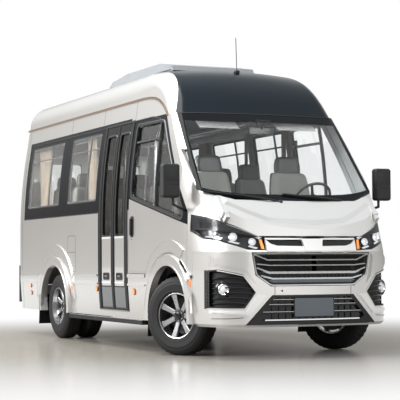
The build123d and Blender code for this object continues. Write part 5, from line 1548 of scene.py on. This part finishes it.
def add_ceiling():
    """Pilot lights, lamps, vents with nozzles, grab rails and belts."""
    belt_x, belt_in = 1.185, 0.085
    for y in (-0.4, 0.4):
        cabin.box("led", (-0.75, y, 2.4), (0.001, 0.001, 0.001), 0.0003)
    cabin.box("led", (1.55, -0.02, 2.612), (0.34, 0.62, 0.012), 0.005)
    for sign in (-1, 1):
        cabin.box("led", (-1.1, sign * 0.565, 2.437), (3.2, 0.022, 0.008), 0.003)
        cabin.box("chrome_dark", (-1.1, sign * 0.556, 2.47), (3.34, 0.01, 0.045), 0.003)
        for x in steps(-2.62, 0.38, 9):
            cabin.box("plastic_grey", (x, sign * 0.66, 2.436), (0.16, 0.1, 0.01), 0.004)
            cabin.knob("black", [(0.0, -0.006), (0.018, -0.005), (0.02, 0.0), (0.0, 0.0)],
                       Matrix.Translation((x, sign * 0.66, 2.431)), 14)
        middle = [(x, sign * 0.5, 2.4) for x in steps(-2.2, 0.52, 5)]
        cabin.tube("chrome", [(-2.7, sign * 0.52, 2.43), *middle, (0.4, sign * 0.52, 2.43)], 0.011, 10)
        cabin.strip("rubber", [(belt_x, z) for z in (1.35, 1.7, 2.05, 2.16)], 0.046, belt_in - 0.0015,
                    belt_in + 0.0015, on_side(sign))
        cabin.box("black", (belt_x, sign * (side_y(2.17) - belt_in), 2.18), (0.05, 0.02, 0.07), 0.007)


add_dash()
add_ceiling()
# grab posts beside the entrance and sun blinds over the screen
for x in (0.93, 0.03):
    cabin.tube("chrome", [(x, -0.7, 0.95), (x, -0.7, 1.6), (x, -0.68, 2.2), (x, -0.6, 2.42)], 0.016, 12)
for y in (-0.45, 0.42):
    cabin.box("lining", (1.985, y, 2.272), (0.012, 0.44, 0.12), 0.005, spin(-55, "Y"))
cabin.done()

WHEEL_TILT, HOOP_R = 42, 0.19
wheel = Piece("steering_wheel_dressed", "steering_wheel_body", "black_plastic", 50)
hub = Matrix.Translation((2.38, 0.4, 1.53)) @ spin(WHEEL_TILT - 90, "Y")
wheel.tube("leather", [hub @ Vector((HOOP_R * math.cos(t), HOOP_R * math.sin(t), 0.0)) for t in turns(48)],
           0.0145, 12, closed=True)
for a in (math.radians(turn) for turn in (90, 200, 340)):
    arm = [hub @ Vector((r * math.cos(a), r * math.sin(a), -0.012 + 0.01 * (r / HOOP_R)))
           for r in (0.04, 0.1, 0.15, 0.185)]
    wheel.tube("plastic", arm, lambda t: 0.017 - 0.005 * t, 10)
wheel.knob("plastic", [(0.0, 0.018), (0.03, 0.016), (0.05, 0.006), (0.052, -0.016), (0.0, -0.017)], hub, 28)
wheel.knob("chrome_dark", [(0.0, 0.0205), (0.014, 0.0195), (0.016, 0.017), (0.0, 0.017)], hub, 24)
wheel.done("steering_wheel")

# -------------------------------------------------------- floor, light, camera
STUDIO_HALF, STUDIO_Z, FADE_FROM, FADE_TO = 80, -0.001, 1.8, 8.0
mesh = bpy.data.meshes.new("studio_floor")
mesh.from_pydata([(u, v, STUDIO_Z) for u, v in rect(-STUDIO_HALF, -STUDIO_HALF, STUDIO_HALF, STUDIO_HALF)],
                 [], [(0, 1, 2, 3)])
studio = material("studio_floor", (0.215, 0.2, 0.175), 0.2, vary=(0.4, 0.01))
mesh.materials.append(studio.material)
link("studio_floor", mesh)
# far from the vehicle the floor runs out into the white backdrop
x, y, _ = studio.split(studio.here)
away = studio.math("SQRT", studio.math("ADD", studio.math("MULTIPLY", x, x), studio.math("MULTIPLY", y, y)))
fade = studio.add("MapRange", {"Value": away, "From Min": FADE_FROM, "From Max": FADE_TO},
                  interpolation_type="SMOOTHSTEP")
glow = studio.add("Emission", {"Strength": 1.0})
studio.put(studio.out.inputs[0], studio.mix_shader(fade.outputs["Result"], studio.shader, glow))

# the sky lights the scene by a soft ramp, and is white where the camera sees it
SKY = ((0.0, (0.26, 0.235, 0.2, 1)), (0.22, (0.72, 0.71, 0.69, 1)), (0.4, (1.3, 1.31, 1.32, 1)),
       (0.78, (1.15, 1.18, 1.2, 1)), (0.92, (1.65, 1.71, 1.77, 1)))
SKY_STRENGTH = 0.68
world = bpy.data.worlds.new("studio")
bpy.context.scene.world = world
world.use_nodes = True
sky = Tree(world.node_tree)
ramp = sky.add("ValToRGB", {0: sky.split(sky.add("TexCoord").outputs["Generated"])[2]})
stops = ramp.color_ramp.elements
for stop, (position, color) in zip((stops[0], stops[1]), (SKY[0], SKY[-1])):
    stop.position, stop.color = position, color
for position, color in SKY[1:-1]:
    stops.new(position).color = color
soft_light = sky.add("Background", {0: ramp.outputs[0], 1: SKY_STRENGTH})
white = sky.add("Background", {0: (1, 1, 1), 1: 1.0})
ray = sky.add("LightPath").outputs
seen = sky.math("MAXIMUM", ray["Is Camera Ray"], ray["Is Transmission Ray"])
sky.add("OutputWorld", {0: sky.mix_shader(seen, soft_light, white)})


def area_lamp(name, place, aim, size, power):
    data = bpy.data.lights.new(name, "AREA")
    data.shape, data.energy = "RECTANGLE", power
    data.size, data.size_y = size
    lamp = link(name, data)
    lamp.location = place
    lamp.rotation_euler = (Vector(aim) - Vector(place)).to_track_quat("-Z", "Y").to_euler()


area_lamp("key", (-1.5, -11.0, 6.5), (0.0, 0, 1.2), (10.0, 5.0), 2700)
area_lamp("overhead", (0.0, -3.2, 9.0), (0.0, -0.5, 0.0), (10.0, 4.6), 1200)
area_lamp("front", (13.0, 3.0, 4.2), (2.5, 0, 1.0), (6.0, 4.0), 420)

EYE = Vector((14.909, -6.387, 0.916))
TURN, RISE, ROLL = math.radians(156.0447), math.radians(2.44186), -0.3435
look = Vector((math.cos(TURN) * math.cos(RISE), math.sin(TURN) * math.cos(RISE), math.sin(RISE)))
lens = bpy.data.cameras.new("camera")
lens.lens, lens.sensor_width, lens.clip_end = 128.46, 36.0, 300
camera = link("camera", lens)
aim = look.to_track_quat("-Z", "Y").to_matrix().to_4x4()
camera.matrix_world = Matrix.Translation(EYE) @ aim @ spin(ROLL, "Z")
bpy.context.scene.camera = camera
bpy.context.scene.view_settings.view_transform = "Standard"
